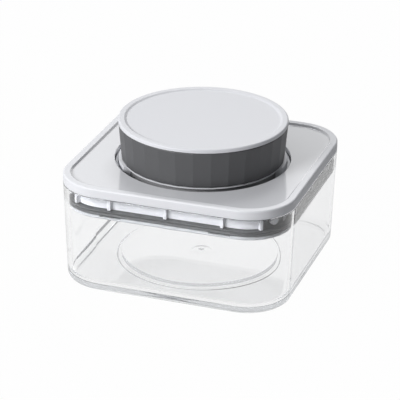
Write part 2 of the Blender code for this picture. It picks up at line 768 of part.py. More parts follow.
def make_inlet():
    umbrella("inlet_valve", (0, 0), VALVE_RADIUS, VALVE_THICKNESS, STEM_RADIUS, WELL_FLOOR, WELL_BOTTOM)
    filter_top = WELL_BOTTOM - GAP - BULB_HEIGHT - GAP
    filter_bottom = filter_top - FILTER_THICKNESS
    felt_radius = COVER_RADIUS - COVER_WALL - GAP
    finish(rod("filter_disc", felt_radius, filter_bottom, filter_top, steps=SMALL_STEPS * 2), FELT)
    cover_top = WELL_BOTTOM - GAP
    floor_top = filter_bottom - GAP
    cover_bottom = floor_top - COVER_FLOOR
    flange_radius = COVER_RADIUS + COVER_FLANGE
    flange_top = min(WELL_BOTTOM - SOCKET_HEIGHT - GAP, cover_bottom + COVER_FLANGE_HEIGHT)
    cover = turned(
        "filter_cover",
        [
            (0, floor_top),
            (COVER_RADIUS - COVER_WALL, floor_top),
            (COVER_RADIUS - COVER_WALL, cover_top),
            (COVER_RADIUS, cover_top),
            (COVER_RADIUS, flange_top),
            (flange_radius, flange_top),
            (flange_radius, cover_bottom),
            (0, cover_bottom),
        ],
        SMALL_STEPS * 2,
    )
    slots = []
    for row, length in enumerate(COVER_SLOT_LENGTHS):
        shift = (row - (len(COVER_SLOT_LENGTHS) - 1) / 2) * COVER_SLOT_PITCH
        frame = Matrix.Translation((0, shift - COVER_SLOT_WIDTH / 2, cover_bottom - OVERRUN))
        slot_points = box_points(length, COVER_SLOT_WIDTH)
        slots.append(prism("slot", slot_points, COVER_FLOOR + 2 * OVERRUN, frame))
    cut(cover, merged("cover slots", slots))
    finish(cover, MATT_WHITE)


def make_cam_track():
    # The sleeve in the well whose helical slots raise and lower the knob.
    low = WELL_FLOOR + GAP
    track = turned(
        "cam_track",
        [(TRACK_OUTSIDE, TRACK_TOP), (TRACK_OUTSIDE, low), (TRACK_BORE, low), (TRACK_BORE, TRACK_TOP)],
    )
    notch_span = (low - OVERRUN, WELL_FLOOR + TRACK_KEY_HEIGHT + GAP)
    notch_width = TRACK_KEY_WIDTH + 2 * GAP
    notches = [
        radial_block(angle, TRACK_BORE - OVERRUN, TRACK_OUTSIDE + OVERRUN, *notch_span, notch_width)
        for angle in track_key_angles()
    ]
    slots = [helical_slot(angle) for angle in lug_angles()]
    cut(track, merged("helical slots", slots), merged("track notches", notches))
    return finish(track, MATT_WHITE)


def helical_slot(start):
    # Swept along the path of one lug, from the raised knob to the lowered one.
    margin = (LUG_WIDTH / 2 + LUG_PLAY) / TRACK_BORE
    slope = TRAVEL / TURN
    middle = (LUG_BOTTOM + LUG_TOP) / 2
    half_height = LUG_HEIGHT / 2 + slope * margin + LUG_PLAY
    inside, outside = TRACK_BORE - OVERRUN, TRACK_OUTSIDE + OVERRUN
    sections = []
    for step in range(TRACK_STEPS + 1):
        angle = start + margin - (TURN + 2 * margin) * step / TRACK_STEPS
        z = middle - slope * min(max(start - angle, 0), TURN)
        low, high = z - half_height, z + half_height
        section = [(inside, low), (outside, low), (outside, high), (inside, high)]
        sections.append([(r * cos(angle), r * sin(angle), height) for r, height in section])
    return skinned("helical slot", sections)


def make_guide_pins():
    # The piston slides on these two pins, which keep it from turning with the knob.
    low = WELL_FLOOR - PIN_SEAT + GAP
    high = low + PIN_LENGTH
    profile = [
        (0, high),
        (PIN_RADIUS - PIN_END, high),
        (PIN_RADIUS, high - PIN_END),
        (PIN_RADIUS, low + PIN_END),
        (PIN_RADIUS - PIN_END, low),
        (0, low),
    ]
    for number, place in enumerate(round_places(2, PIN_PLACE), 1):
        finish(turned(f"guide_pin_{number}", profile, SMALL_STEPS, place), STEEL)


def make_piston():
    middle = (PISTON_BOTTOM + PISTON_TOP) / 2
    groove_half = SEAL_HEIGHT / 2 + GAP
    pivot_bore = PIVOT_RADIUS + GAP
    pocket_top = PISTON_BOTTOM + HUB_POCKET_DEPTH
    piston = turned(
        "piston",
        [
            (0, HUB_TOP),
            (HUB_RADIUS, HUB_TOP),
            (HUB_RADIUS, PISTON_TOP),
            (PISTON_RADIUS, PISTON_TOP),
            (PISTON_RADIUS, middle + groove_half),
            (SEAL_BED_RADIUS, middle + groove_half),
            (SEAL_BED_RADIUS, middle - groove_half),
            (PISTON_RADIUS, middle - groove_half),
            (PISTON_RADIUS, PISTON_BOTTOM),
            (HUB_POCKET_RADIUS, PISTON_BOTTOM),
            (HUB_POCKET_RADIUS, pocket_top),
            (0, pocket_top),
        ],
        PISTON_STEPS,
    )
    pivot_hole = rod("pivot hole", pivot_bore, HUB_TOP - PIVOT_LENGTH, HUB_TOP + OVERRUN)
    guide_bore = PIN_RADIUS + GAP
    pin_top = WELL_FLOOR - PIN_SEAT + GAP + PIN_LENGTH
    guide_top = pin_top + TRAVEL + 2 * GAP
    pin_places = round_places(2, PIN_PLACE)
    guide_span = (PISTON_TOP - BITE, guide_top + GUIDE_WALL)
    guides = rods("guide sleeves", guide_bore + GUIDE_WALL, *guide_span, pin_places)
    guide_holes = rods("guide holes", guide_bore, PISTON_BOTTOM - OVERRUN, guide_top, pin_places)
    vent_span = (PISTON_BOTTOM - OVERRUN, PISTON_TOP + OVERRUN)
    circle = round_places(VENT_PORT_COUNT, VENT_PORT_CIRCLE, QUARTER / 2)
    vents = rods("vents", VENT_PORT_RADIUS, *vent_span, [(x, y + VENT_PLACE) for x, y in circle])
    stem_hole = rod("vent stem hole", VENT_STEM_RADIUS + GAP, *vent_span, (0, VENT_PLACE))
    join(piston, guides)
    cut(piston, pivot_hole, guide_holes, vents, stem_hole)
    finish(piston, MATT_WHITE)
    seal_radius = BARREL_BORE - GAP
    seal_half = SEAL_HEIGHT / 2
    seal = turned(
        "piston_seal",
        [
            (seal_radius - SEAL_EDGE, middle + seal_half),
            (seal_radius, middle + seal_half - SEAL_EDGE),
            (seal_radius, middle - seal_half + SEAL_EDGE),
            (seal_radius - SEAL_EDGE, middle - seal_half),
            (SEAL_BED_RADIUS + GAP, middle - seal_half),
            (SEAL_BED_RADIUS + GAP, middle + seal_half),
        ],
        PISTON_STEPS,
    )
    finish(seal, SEAL_GREY)
    umbrella(
        "outlet_valve",
        (0, VENT_PLACE),
        VENT_VALVE_RADIUS,
        VENT_VALVE_THICKNESS,
        VENT_STEM_RADIUS,
        PISTON_TOP,
        PISTON_BOTTOM,
    )


def make_pivot():
    # The screw on which the knob turns, with its washer. Both stay with the piston.
    washer_bottom = DISH_TOP + GAP
    washer_top = washer_bottom + WASHER_THICKNESS
    bore = PIVOT_RADIUS + GAP
    washer = turned(
        "pivot_washer",
        [
            (WASHER_RADIUS, washer_top),
            (WASHER_RADIUS, washer_bottom),
            (bore, washer_bottom),
            (bore, washer_top),
        ],
        SMALL_STEPS * 2,
    )
    finish(washer, STEEL)
    head_bottom = washer_top + GAP
    head_top = head_bottom + PIVOT_HEAD_HEIGHT
    low = HUB_TOP - PIVOT_LENGTH + GAP
    head_edge = arc(
        PIVOT_HEAD_RADIUS - PIVOT_HEAD_ROUND, head_top - PIVOT_HEAD_ROUND, PIVOT_HEAD_ROUND, QUARTER, 0
    )
    screw = turned(
        "pivot_screw",
        [
            (0, head_top),
            *head_edge,
            (PIVOT_HEAD_RADIUS, head_bottom),
            (PIVOT_RADIUS, head_bottom),
            (PIVOT_RADIUS, low + PIN_END),
            (PIVOT_RADIUS - PIN_END, low),
            (0, low),
        ],
        SMALL_STEPS * 2,
    )
    length = PIVOT_HEAD_RADIUS / 2
    for turn in (0, QUARTER):
        points = [
            (-length, -SCREW_SLOT_WIDTH / 2),
            (length, -SCREW_SLOT_WIDTH / 2),
            (length, SCREW_SLOT_WIDTH / 2),
            (-length, SCREW_SLOT_WIDTH / 2),
        ]
        place = Matrix.Translation((0, 0, head_top - SCREW_SLOT_DEPTH)) @ Matrix.Rotation(turn, 4, "Z")
        cut(screw, prism("pivot slot", points, SCREW_SLOT_DEPTH + OVERRUN, place))
    finish(screw, STEEL)


def make_knob_core():
    # Carries the grip ring on its sleeve, and the lugs on the tail under the collar.
    sleeve_bore = SLEEVE_RADIUS - SLEEVE_WALL
    collar_top = RING_BOTTOM - GAP
    collar_bottom = collar_top - COLLAR_HEIGHT
    pivot_bore = PIVOT_RADIUS + PIVOT_CLEARANCE
    core = turned(
        "knob_core",
        [
            (pivot_bore, DISH_TOP),
            (DISH_RADIUS, DISH_TOP),
            (DISH_RADIUS, DECK_TOP),
            (SLEEVE_RADIUS, DECK_TOP),
            (SLEEVE_RADIUS, collar_top),
            (SLEEVE_RADIUS + COLLAR_REACH, collar_top),
            (SLEEVE_RADIUS + COLLAR_REACH, collar_bottom),
            (TAIL_RADIUS, collar_bottom),
            (TAIL_RADIUS, TAIL_BOTTOM),
            (TAIL_BORE, TAIL_BOTTOM),
            (TAIL_BORE, collar_bottom),
            (sleeve_bore, collar_top),
            (sleeve_bore, DECK_TOP - DECK_THICKNESS),
            (DISH_RADIUS + DECK_THICKNESS, DECK_TOP - DECK_THICKNESS),
            (DISH_RADIUS + DECK_THICKNESS, DISH_BOTTOM),
            (pivot_bore, DISH_BOTTOM),
        ],
    )
    blocks = [lug_block(angle, collar_bottom + BITE) for angle in lug_angles()]
    tip_span = (BLOCK_RADIUS - BITE, LUG_TIP, LUG_BOTTOM, LUG_TOP)
    tips = [radial_block(angle, *tip_span, LUG_WIDTH) for angle in lug_angles()]
    join(core, merged("lug blocks", blocks), merged("lug tips", tips))
    return finish(core, WHITE)


def lug_block(angle, top):
    # Stands out from the tail under the collar. Its tip runs in a helical slot.
    root = TAIL_RADIUS - TAIL_WALL / 2
    angles = [angle + LUG_SPAN * (i / LUG_STEPS - 1 / 2) for i in range(LUG_STEPS + 1)]
    ring = [(BLOCK_RADIUS, a) for a in angles] + [(root, a) for a in reversed(angles)]
    points = [(radius * cos(a), radius * sin(a)) for radius, a in ring]
    return prism("lug block", points, top - LUG_BOTTOM, Matrix.Translation((0, 0, LUG_BOTTOM)))


def make_grip_ring():
    # A ring of flat facets that narrows downwards.
    heights = [
        (RING_TOP_RADIUS - RING_DRAW - RING_EDGE, RING_BOTTOM),
        (RING_TOP_RADIUS - RING_DRAW, RING_BOTTOM + RING_EDGE),
        (RING_TOP_RADIUS, RING_TOP - RING_EDGE),
        (RING_TOP_RADIUS - RING_EDGE, RING_TOP),
    ]
    loops = [[(x, y, z) for x, y in round_places(FACETS, radius, QUARTER)] for radius, z in heights]
    ring = skinned("grip_ring", loops)
    bore = SLEEVE_RADIUS + GAP
    cut(ring, rod("ring bore", bore, RING_BOTTOM - OVERRUN, RING_TOP + OVERRUN, steps=TURN_STEPS))
    return finish(ring, GRIP_GREY, radians(5))


def make_knob_cap():
    rim_inside = RING_TOP_RADIUS - CAP_RIM
    floor_top = CAP_TOP - CAP_RECESS
    outer_edge = arc(RING_TOP_RADIUS - CAP_ROUND, CAP_TOP - CAP_ROUND, CAP_ROUND, QUARTER, 0)
    seat_bore = SLEEVE_RADIUS - CAP_SEAT_WALL
    cap = turned(
        "knob_cap",
        [
            (0, floor_top),
            (rim_inside - CAP_SLOPE, floor_top),
            (rim_inside, CAP_TOP - CAP_RECESS / 4),
            (rim_inside + CAP_SLOPE / 2, CAP_TOP),
            *outer_edge,
            (RING_TOP_RADIUS, CAP_BOTTOM),
            (SLEEVE_RADIUS, CAP_BOTTOM),
            (SLEEVE_RADIUS, CAP_BOTTOM - CAP_SEAT_HEIGHT),
            (seat_bore, CAP_BOTTOM - CAP_SEAT_HEIGHT),
            (seat_bore, floor_top - CAP_THICKNESS),
            (0, floor_top - CAP_THICKNESS),
        ],
    )
    return finish(cap, WHITE)


make_tub()
make_lid_shell()
make_gasket()
make_base_frame()
make_base_screws()
make_inlet()
make_cam_track()
make_guide_pins()
make_piston()
make_pivot()
make_knob_core()
make_grip_ring()
make_knob_cap()
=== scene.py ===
from math import atan, cos, hypot, pi, radians, sin

import bmesh
import bpy
from mathutils import Matrix, Vector


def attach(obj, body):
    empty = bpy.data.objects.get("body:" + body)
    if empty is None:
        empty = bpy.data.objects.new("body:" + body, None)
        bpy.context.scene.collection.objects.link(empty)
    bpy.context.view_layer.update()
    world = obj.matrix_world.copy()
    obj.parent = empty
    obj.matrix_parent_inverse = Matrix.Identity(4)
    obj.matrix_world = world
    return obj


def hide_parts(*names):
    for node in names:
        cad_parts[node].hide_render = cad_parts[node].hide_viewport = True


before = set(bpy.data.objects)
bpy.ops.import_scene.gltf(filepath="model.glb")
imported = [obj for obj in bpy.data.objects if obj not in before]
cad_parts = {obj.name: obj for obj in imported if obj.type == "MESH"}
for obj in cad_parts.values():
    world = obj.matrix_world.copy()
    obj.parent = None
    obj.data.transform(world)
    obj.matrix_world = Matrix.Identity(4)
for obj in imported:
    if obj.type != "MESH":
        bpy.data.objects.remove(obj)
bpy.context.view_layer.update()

mm = 0.001
quarter = radians(90)
weldLimit = 0.001 * mm
sideCount = 4
print("packed frame loaded")


# finishes

def newSocket(group, name, way, kind, value=None):
    socket = group.interface.new_socket(name, in_out=way, socket_type=kind)
    if value is not None:
        socket.default_value = value


def mathNode(nodes, operation, value=None):
    # The value, where one is given, is the second input.
    made = nodes.new("ShaderNodeMath")
    made.operation = operation
    if value is not None:
        made.inputs[1].default_value = value
    return made


def rangeNode(nodes, source, target, smooth=False):
    # Maps one (start, end) to another.
    made = nodes.new("ShaderNodeMapRange")
    if smooth:
        made.interpolation_type = "SMOOTHSTEP"
    made.inputs["From Min"].default_value, made.inputs["From Max"].default_value = source
    made.inputs["To Min"].default_value, made.inputs["To Max"].default_value = target
    return made


def shaderOf(made):
    return next(node for node in made.node_tree.nodes if node.type == "BSDF_PRINCIPLED")


def skinGroup():
    # Moulded skin: patches in colour and gloss, with fine grain as height.
    group = bpy.data.node_groups.new("moulded skin", "ShaderNodeTree")
    newSocket(group, "Colour", "INPUT", "NodeSocketColor", (0.8, 0.8, 0.8, 1))
    newSocket(group, "Colour Spread", "INPUT", "NodeSocketFloat", 0.03)
    newSocket(group, "Roughness", "INPUT", "NodeSocketFloat", 0.3)
    newSocket(group, "Roughness Spread", "INPUT", "NodeSocketFloat", 0.05)
    newSocket(group, "Patch Scale", "INPUT", "NodeSocketFloat", 60)
    newSocket(group, "Grain Scale", "INPUT", "NodeSocketFloat", 2500)
    newSocket(group, "Colour", "OUTPUT", "NodeSocketColor")
    newSocket(group, "Roughness", "OUTPUT", "NodeSocketFloat")
    newSocket(group, "Height", "OUTPUT", "NodeSocketFloat")
    nodes, links = group.nodes, group.links
    given = nodes.new("NodeGroupInput")
    out = nodes.new("NodeGroupOutput")
    place = nodes.new("ShaderNodeTexCoord")
    patch = nodes.new("ShaderNodeTexNoise")
    patch.inputs["Detail"].default_value = 3
    grain = nodes.new("ShaderNodeTexNoise")
    grain.inputs["Detail"].default_value = 2
    links.new(place.outputs["Object"], patch.inputs["Vector"])
    links.new(place.outputs["Object"], grain.inputs["Vector"])
    links.new(given.outputs["Patch Scale"], patch.inputs["Scale"])
    links.new(given.outputs["Grain Scale"], grain.inputs["Scale"])
    centred = mathNode(nodes, "SUBTRACT", 0.5)
    links.new(patch.outputs["Fac"], centred.inputs[0])
    swing = mathNode(nodes, "MULTIPLY_ADD")
    swing.inputs[2].default_value = 1
    links.new(centred.outputs[0], swing.inputs[0])
    links.new(given.outputs["Colour Spread"], swing.inputs[1])
    tint = nodes.new("ShaderNodeVectorMath")
    tint.operation = "SCALE"
    links.new(given.outputs["Colour"], tint.inputs[0])
    links.new(swing.outputs[0], tint.inputs["Scale"])
    gloss = mathNode(nodes, "MULTIPLY_ADD")
    gloss.use_clamp = True
    links.new(centred.outputs[0], gloss.inputs[0])
    links.new(given.outputs["Roughness Spread"], gloss.inputs[1])
    links.new(given.outputs["Roughness"], gloss.inputs[2])
    links.new(tint.outputs[0], out.inputs["Colour"])
    links.new(gloss.outputs[0], out.inputs["Roughness"])
    links.new(grain.outputs["Fac"], out.inputs["Height"])
    return group


def flowGroup():
    # Clear moulding: slow waves in the wall from the way the melt ran, and a little haze.
    group = bpy.data.node_groups.new("melt flow", "ShaderNodeTree")
    newSocket(group, "Wave Scale", "INPUT", "NodeSocketFloat", 30)
    newSocket(group, "Haze", "INPUT", "NodeSocketFloat", 0.02)
    newSocket(group, "Haze Spread", "INPUT", "NodeSocketFloat", 0.03)
    newSocket(group, "Roughness", "OUTPUT", "NodeSocketFloat")
    newSocket(group, "Height", "OUTPUT", "NodeSocketFloat")
    nodes, links = group.nodes, group.links
    given = nodes.new("NodeGroupInput")
    out = nodes.new("NodeGroupOutput")
    place = nodes.new("ShaderNodeTexCoord")
    stretch = nodes.new("ShaderNodeMapping")
    stretch.inputs["Scale"].default_value = (1, 1, 0.25)
    wave = nodes.new("ShaderNodeTexNoise")
    wave.inputs["Detail"].default_value = 1.5
    links.new(place.outputs["Object"], stretch.inputs["Vector"])
    links.new(stretch.outputs["Vector"], wave.inputs["Vector"])
    links.new(given.outputs["Wave Scale"], wave.inputs["Scale"])
    haze = mathNode(nodes, "MULTIPLY_ADD")
    haze.use_clamp = True
    links.new(wave.outputs["Fac"], haze.inputs[0])
    links.new(given.outputs["Haze Spread"], haze.inputs[1])
    links.new(given.outputs["Haze"], haze.inputs[2])
    links.new(haze.outputs[0], out.inputs["Roughness"])
    links.new(wave.outputs["Fac"], out.inputs["Height"])
    return group


skin = skinGroup()
flow = flowGroup()


def emptyMaterial(name):
    made = bpy.data.materials.new(name)
    made.use_nodes = True
    nodes = made.node_tree.nodes
    nodes.clear()
    out = nodes.new("ShaderNodeOutputMaterial")
    shader = nodes.new("ShaderNodeBsdfPrincipled")
    made.node_tree.links.new(shader.outputs[0], out.inputs["Surface"])
    return made, nodes, made.node_tree.links, shader, out


def skinMaterial(name, look):
    made, nodes, links, shader, _ = emptyMaterial(name)
    group = nodes.new("ShaderNodeGroup")
    group.node_tree = skin
    group.inputs["Colour"].default_value = (*look["colour"], 1)
    group.inputs["Colour Spread"].default_value = look["colourSpread"]
    group.inputs["Roughness"].default_value = look["roughness"]
    group.inputs["Roughness Spread"].default_value = look["roughnessSpread"]
    group.inputs["Patch Scale"].default_value = look["patchScale"]
    group.inputs["Grain Scale"].default_value = look["grainScale"]
    bump = nodes.new("ShaderNodeBump")
    bump.inputs["Strength"].default_value = look["grain"]
    bump.inputs["Distance"].default_value = look["grainDepth"]
    links.new(group.outputs["Height"], bump.inputs["Height"])
    links.new(group.outputs["Colour"], shader.inputs["Base Color"])
    links.new(group.outputs["Roughness"], shader.inputs["Roughness"])
    links.new(bump.outputs["Normal"], shader.inputs["Normal"])
    for socket, value in look.get("shader", {}).items():
        shader.inputs[socket].default_value = value
    return made


def clearMaterial(name, look):
    # Glass-like plastic that lets the lamps through to what is behind it. Light that a wall has
    # turned back more than once is let out too, or the tub's foot and floor would darken.
    made, nodes, links, shader, out = emptyMaterial(name)
    group = nodes.new("ShaderNodeGroup")
    group.node_tree = flow
    group.inputs["Wave Scale"].default_value = look["waveScale"]
    group.inputs["Haze"].default_value = look["haze"]
    group.inputs["Haze Spread"].default_value = look["hazeSpread"]
    bump = nodes.new("ShaderNodeBump")
    bump.inputs["Strength"].default_value = look["wave"]
    bump.inputs["Distance"].default_value = look["waveDepth"]
    links.new(group.outputs["Height"], bump.inputs["Height"])
    links.new(group.outputs["Roughness"], shader.inputs["Roughness"])
    links.new(bump.outputs["Normal"], shader.inputs["Normal"])
    shader.inputs["Base Color"].default_value = (*look["colour"], 1)
    shader.inputs["IOR"].default_value = look["ior"]
    shader.inputs["Transmission Weight"].default_value = 1
    path = nodes.new("ShaderNodeLightPath")
    through = nodes.new("ShaderNodeBsdfTransparent")
    through.inputs["Color"].default_value = (*look["shade"], 1)
    facing = nodes.new("ShaderNodeNewGeometry")
    inside = mathNode(nodes, "MULTIPLY")
    turned = mathNode(nodes, "SUBTRACT")
    deep = mathNode(nodes, "GREATER_THAN", look["turns"])
    caught = mathNode(nodes, "MULTIPLY")
    straight = mathNode(nodes, "MAXIMUM")
    links.new(path.outputs["Is Reflection Ray"], inside.inputs[0])
    links.new(facing.outputs["Backfacing"], inside.inputs[1])
    links.new(path.outputs["Ray Depth"], turned.inputs[0])
    links.new(path.outputs["Transmission Depth"], turned.inputs[1])
    links.new(turned.outputs[0], deep.inputs[0])
    links.new(inside.outputs[0], caught.inputs[0])
    links.new(deep.outputs[0], caught.inputs[1])
    links.new(path.outputs["Is Shadow Ray"], straight.inputs[0])
    links.new(caught.outputs[0], straight.inputs[1])
    mix = nodes.new("ShaderNodeMixShader")
    links.new(straight.outputs[0], mix.inputs["Fac"])
    links.new(shader.outputs[0], mix.inputs[1])
    links.new(through.outputs[0], mix.inputs[2])
    links.new(mix.outputs[0], out.inputs["Surface"])
    return made


def glossInside(made, look):
    # Keeps the gloss on the plate: the raised rim and the sides stay satin.
    nodes, links = made.node_tree.nodes, made.node_tree.links
    shader = shaderOf(made)
    place = nodes.new("ShaderNodeTexCoord")
    point = place.outputs["Object"]
    steps = (("ABSOLUTE", 0), ("SUBTRACT", look["centre"]), ("MAXIMUM", 0), ("MULTIPLY", 1))
    for step, value in steps:  # how far the point lies past the corner's centre, seen from above
        move = nodes.new("ShaderNodeVectorMath")
        move.operation = step
        if step != "ABSOLUTE":
            move.inputs[1].default_value = (value, value, 0)
        links.new(point, move.inputs[0])
        point = move.outputs[0]
    reach = nodes.new("ShaderNodeVectorMath")
    reach.operation = "LENGTH"
    links.new(point, reach.inputs[0])
    mask = rangeNode(nodes, (look["full"], look["none"]), (1, 0))
    links.new(reach.outputs["Value"], mask.inputs["Value"])
    links.new(mask.outputs["Result"], shader.inputs["Coat Weight"])
    rough = nodes.new("ShaderNodeMix")
    rough.data_type = "FLOAT"
    rough.inputs["A"].default_value = look["satin"]
    links.new(mask.outputs["Result"], rough.inputs["Factor"])
    links.new(shader.inputs["Roughness"].links[0].from_socket, rough.inputs["B"])
    links.new(rough.outputs["Result"], shader.inputs["Roughness"])


def paintTailShade(made, look):
    # Paints shade on the sleeve under the collar: its colour there is made darker than the rest, standing in
    # for the shadow in the well.
    nodes, links = made.node_tree.nodes, made.node_tree.links
    shader = shaderOf(made)
    place = nodes.new("ShaderNodeTexCoord")
    flat = nodes.new("ShaderNodeVectorMath")
    flat.operation = "MULTIPLY"
    flat.inputs[1].default_value = (1, 1, 0)
    reach = nodes.new("ShaderNodeVectorMath")
    reach.operation = "LENGTH"
    links.new(place.outputs["Object"], flat.inputs[0])
    links.new(flat.outputs[0], reach.inputs[0])
    near = rangeNode(nodes, (look["paintedShadeFull"], look["white"]), (1, 0))
    links.new(reach.outputs["Value"], near.inputs["Value"])
    split = nodes.new("ShaderNodeSeparateXYZ")
    links.new(place.outputs["Object"], split.inputs[0])
    below = mathNode(nodes, "LESS_THAN", look["paintedShadeTop"])
    links.new(split.outputs["Z"], below.inputs[0])
    mask = mathNode(nodes, "MULTIPLY")
    links.new(near.outputs["Result"], mask.inputs[0])
    links.new(below.outputs[0], mask.inputs[1])
    tint = nodes.new("ShaderNodeMix")
    tint.data_type = "RGBA"
    tint.inputs["B"].default_value = (*look["tail"], 1)
    links.new(mask.outputs[0], tint.inputs["Factor"])
    links.new(shader.inputs["Base Color"].links[0].from_socket, tint.inputs["A"])
    links.new(tint.outputs["Result"], shader.inputs["Base Color"])


def edgeTint(made, look):
    # Clear plastic looks greyer where its edges are seen through their length.
    nodes, links = made.node_tree.nodes, made.node_tree.links
    shader = shaderOf(made)
    place = nodes.new("ShaderNodeTexCoord")
    split = nodes.new("ShaderNodeSeparateXYZ")
    links.new(place.outputs["Object"], split.inputs[0])
    both = mathNode(nodes, "MAXIMUM")
    for slot, span in enumerate((look["foot"], look["rim"])):
        band = rangeNode(nodes, span, (0, 1), smooth=True)
        links.new(split.outputs["Z"], band.inputs["Value"])
        links.new(band.outputs["Result"], both.inputs[slot])
    tint = nodes.new("ShaderNodeMix")
    tint.data_type = "RGBA"
    tint.inputs["A"].default_value = (*look["colour"], 1)
    tint.inputs["B"].default_value = (*look["edge"], 1)
    links.new(both.outputs[0], tint.inputs["Factor"])
    links.new(tint.outputs["Result"], shader.inputs["Base Color"])


clearLook = {
    "colour": (0.98, 0.982, 0.985),
    "edge": (0.86, 0.865, 0.87),
    "turns": 1.5,
    "foot": (4.2 * mm, 0.8 * mm),
    "rim": (54.5 * mm, 55.5 * mm),
    "shade": (0.90, 0.91, 0.92),
    "ior": 1.49,
    "haze": 0.004,
    "hazeSpread": 0.01,
    "waveScale": 28,
    "wave": 0.08,
    "waveDepth": 0.3 * mm,
}
glossWhiteLook = {
    "colour": (0.74, 0.745, 0.775),
    "colourSpread": 0.02,
    "roughness": 0.12,
    "roughnessSpread": 0.05,
    "patchScale": 45,
    "grainScale": 900,
    "grain": 0.02,
    "grainDepth": 0.05 * mm,
    "shader": {"IOR": 1.55, "Coat Weight": 1.0, "Coat Roughness": 0.05, "Coat IOR": 1.6},
}
satinWhiteLook = {
    "colour": (0.68, 0.685, 0.715),
    "colourSpread": 0.02,
    "roughness": 0.46,
    "roughnessSpread": 0.06,
    "patchScale": 50,
    "grainScale": 3200,
    "grain": 0.14,
    "grainDepth": 0.03 * mm,
}
skirtLook = {**satinWhiteLook, "colour": (0.76, 0.765, 0.795)}
coreLook = {
    **satinWhiteLook,
    # The tail colour is painted shade. The sleeve under the collar gets it in place of the well's shadow.
    "tail": (0.30, 0.30, 0.31),
    "paintedShadeFull": 41.4 * mm,
    "white": 42.0 * mm,
    "paintedShadeTop": 58.7 * mm,
}
mattWhiteLook = {
    "colour": (0.55, 0.56, 0.58),
    "colourSpread": 0.03,
    "roughness": 0.5,
    "roughnessSpread": 0.08,
    "patchScale": 70,
    "grainScale": 2600,
    "grain": 0.2,
    "grainDepth": 0.03 * mm,
}
gripLook = {
    "colour": (0.085, 0.086, 0.090),
    "colourSpread": 0.10,
    "roughness": 0.48,
    "roughnessSpread": 0.10,
    "patchScale": 90,
    "grainScale": 3600,
    "grain": 0.22,
    "grainDepth": 0.03 * mm,
}
siliconeLook = {
    "colour": (0.050, 0.053, 0.056),
    "colourSpread": 0.10,
    "roughness": 0.58,
    "roughnessSpread": 0.12,
    "patchScale": 120,
    "grainScale": 2400,
    "grain": 0.2,
    "grainDepth": 0.03 * mm,
    "shader": {"Sheen Weight": 0.05},
}
valveLook = {
    "colour": (0.62, 0.64, 0.66),
    "colourSpread": 0.04,
    "roughness": 0.5,
    "roughnessSpread": 0.1,
    "patchScale": 140,
    "grainScale": 2400,
    "grain": 0.1,
    "grainDepth": 0.02 * mm,
    "shader": {"Subsurface Weight": 0.2},
}
steelLook = {
    "colour": (0.56, 0.57, 0.58),
    "colourSpread": 0.08,
    "roughness": 0.3,
    "roughnessSpread": 0.14,
    "patchScale": 400,
    "grainScale": 4200,
    "grain": 0.12,
    "grainDepth": 0.02 * mm,
    "shader": {"Metallic": 1},
}
feltLook = {
    "colour": (0.60, 0.61, 0.60),
    "colourSpread": 0.25,
    "roughness": 0.9,
    "roughnessSpread": 0.1,
    "patchScale": 900,
    "grainScale": 1800,
    "grain": 0.8,
    "grainDepth": 0.1 * mm,
    "shader": {"Sheen Weight": 0.4},
}
plateGloss = {"centre": 38 * mm, "full": 21.2 * mm, "none": 23.0 * mm, "satin": 0.46}
clearPlastic = clearMaterial("clear plastic", clearLook)
edgeTint(clearPlastic, clearLook)
glossWhite = skinMaterial("gloss white plastic", glossWhiteLook)
glossInside(glossWhite, plateGloss)
satinWhite = skinMaterial("satin white plastic", satinWhiteLook)
skirtWhite = skinMaterial("skirt white plastic", skirtLook)
coreWhitePaintedShade = skinMaterial("core white plastic, painted shade", coreLook)
paintTailShade(coreWhitePaintedShade, coreLook)
mattWhite = skinMaterial("matt white plastic", mattWhiteLook)
gripGrey = skinMaterial("dark grip plastic", gripLook)
sealGrey = skinMaterial("grey silicone", siliconeLook)
valveClear = skinMaterial("pale silicone", valveLook)
screwSteel = skinMaterial("screw steel", steelLook)
filterFelt = skinMaterial("filter felt", feltLook)
print("finishes made")


# modelling helpers

# The corners of every square piece share these centres. A flat over "longFlat" gets an edge loop
# "hold" from each end, so that a rounded edge beside it does not shade across it.
tubCorner = {"centre": 38 * mm, "steps": 28, "hold": 0.15 * mm, "longFlat": 1.2 * mm}
ringSteps = 96


def newPiece(name, bm, material, sharp=30):
    bmesh.ops.remove_doubles(bm, verts=bm.verts, dist=weldLimit)
    bmesh.ops.recalc_face_normals(bm, faces=bm.faces)
    mesh = bpy.data.meshes.new(name)
    bm.to_mesh(mesh)
    bm.free()
    mesh.materials.append(material)
    mesh.shade_smooth()
    mesh.set_sharp_from_angle(angle=radians(sharp))
    piece = bpy.data.objects.new(name, mesh)
    bpy.context.scene.collection.objects.link(piece)
    return piece


def standsFor(piece, body, slot, *nodes):
    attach(piece, body)
    if nodes:
        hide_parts(*nodes)


def vertsIn(geom):
    return [item for item in geom if isinstance(item, bmesh.types.BMVert)]


def edgesIn(geom):
    return [item for item in geom if isinstance(item, bmesh.types.BMEdge)]


def rounded(bm, edges, offset, segments=2):
    bmesh.ops.bevel(
        bm, geom=edges, offset=offset, segments=segments, profile=0.5, affect="EDGES", material=-1,
    )


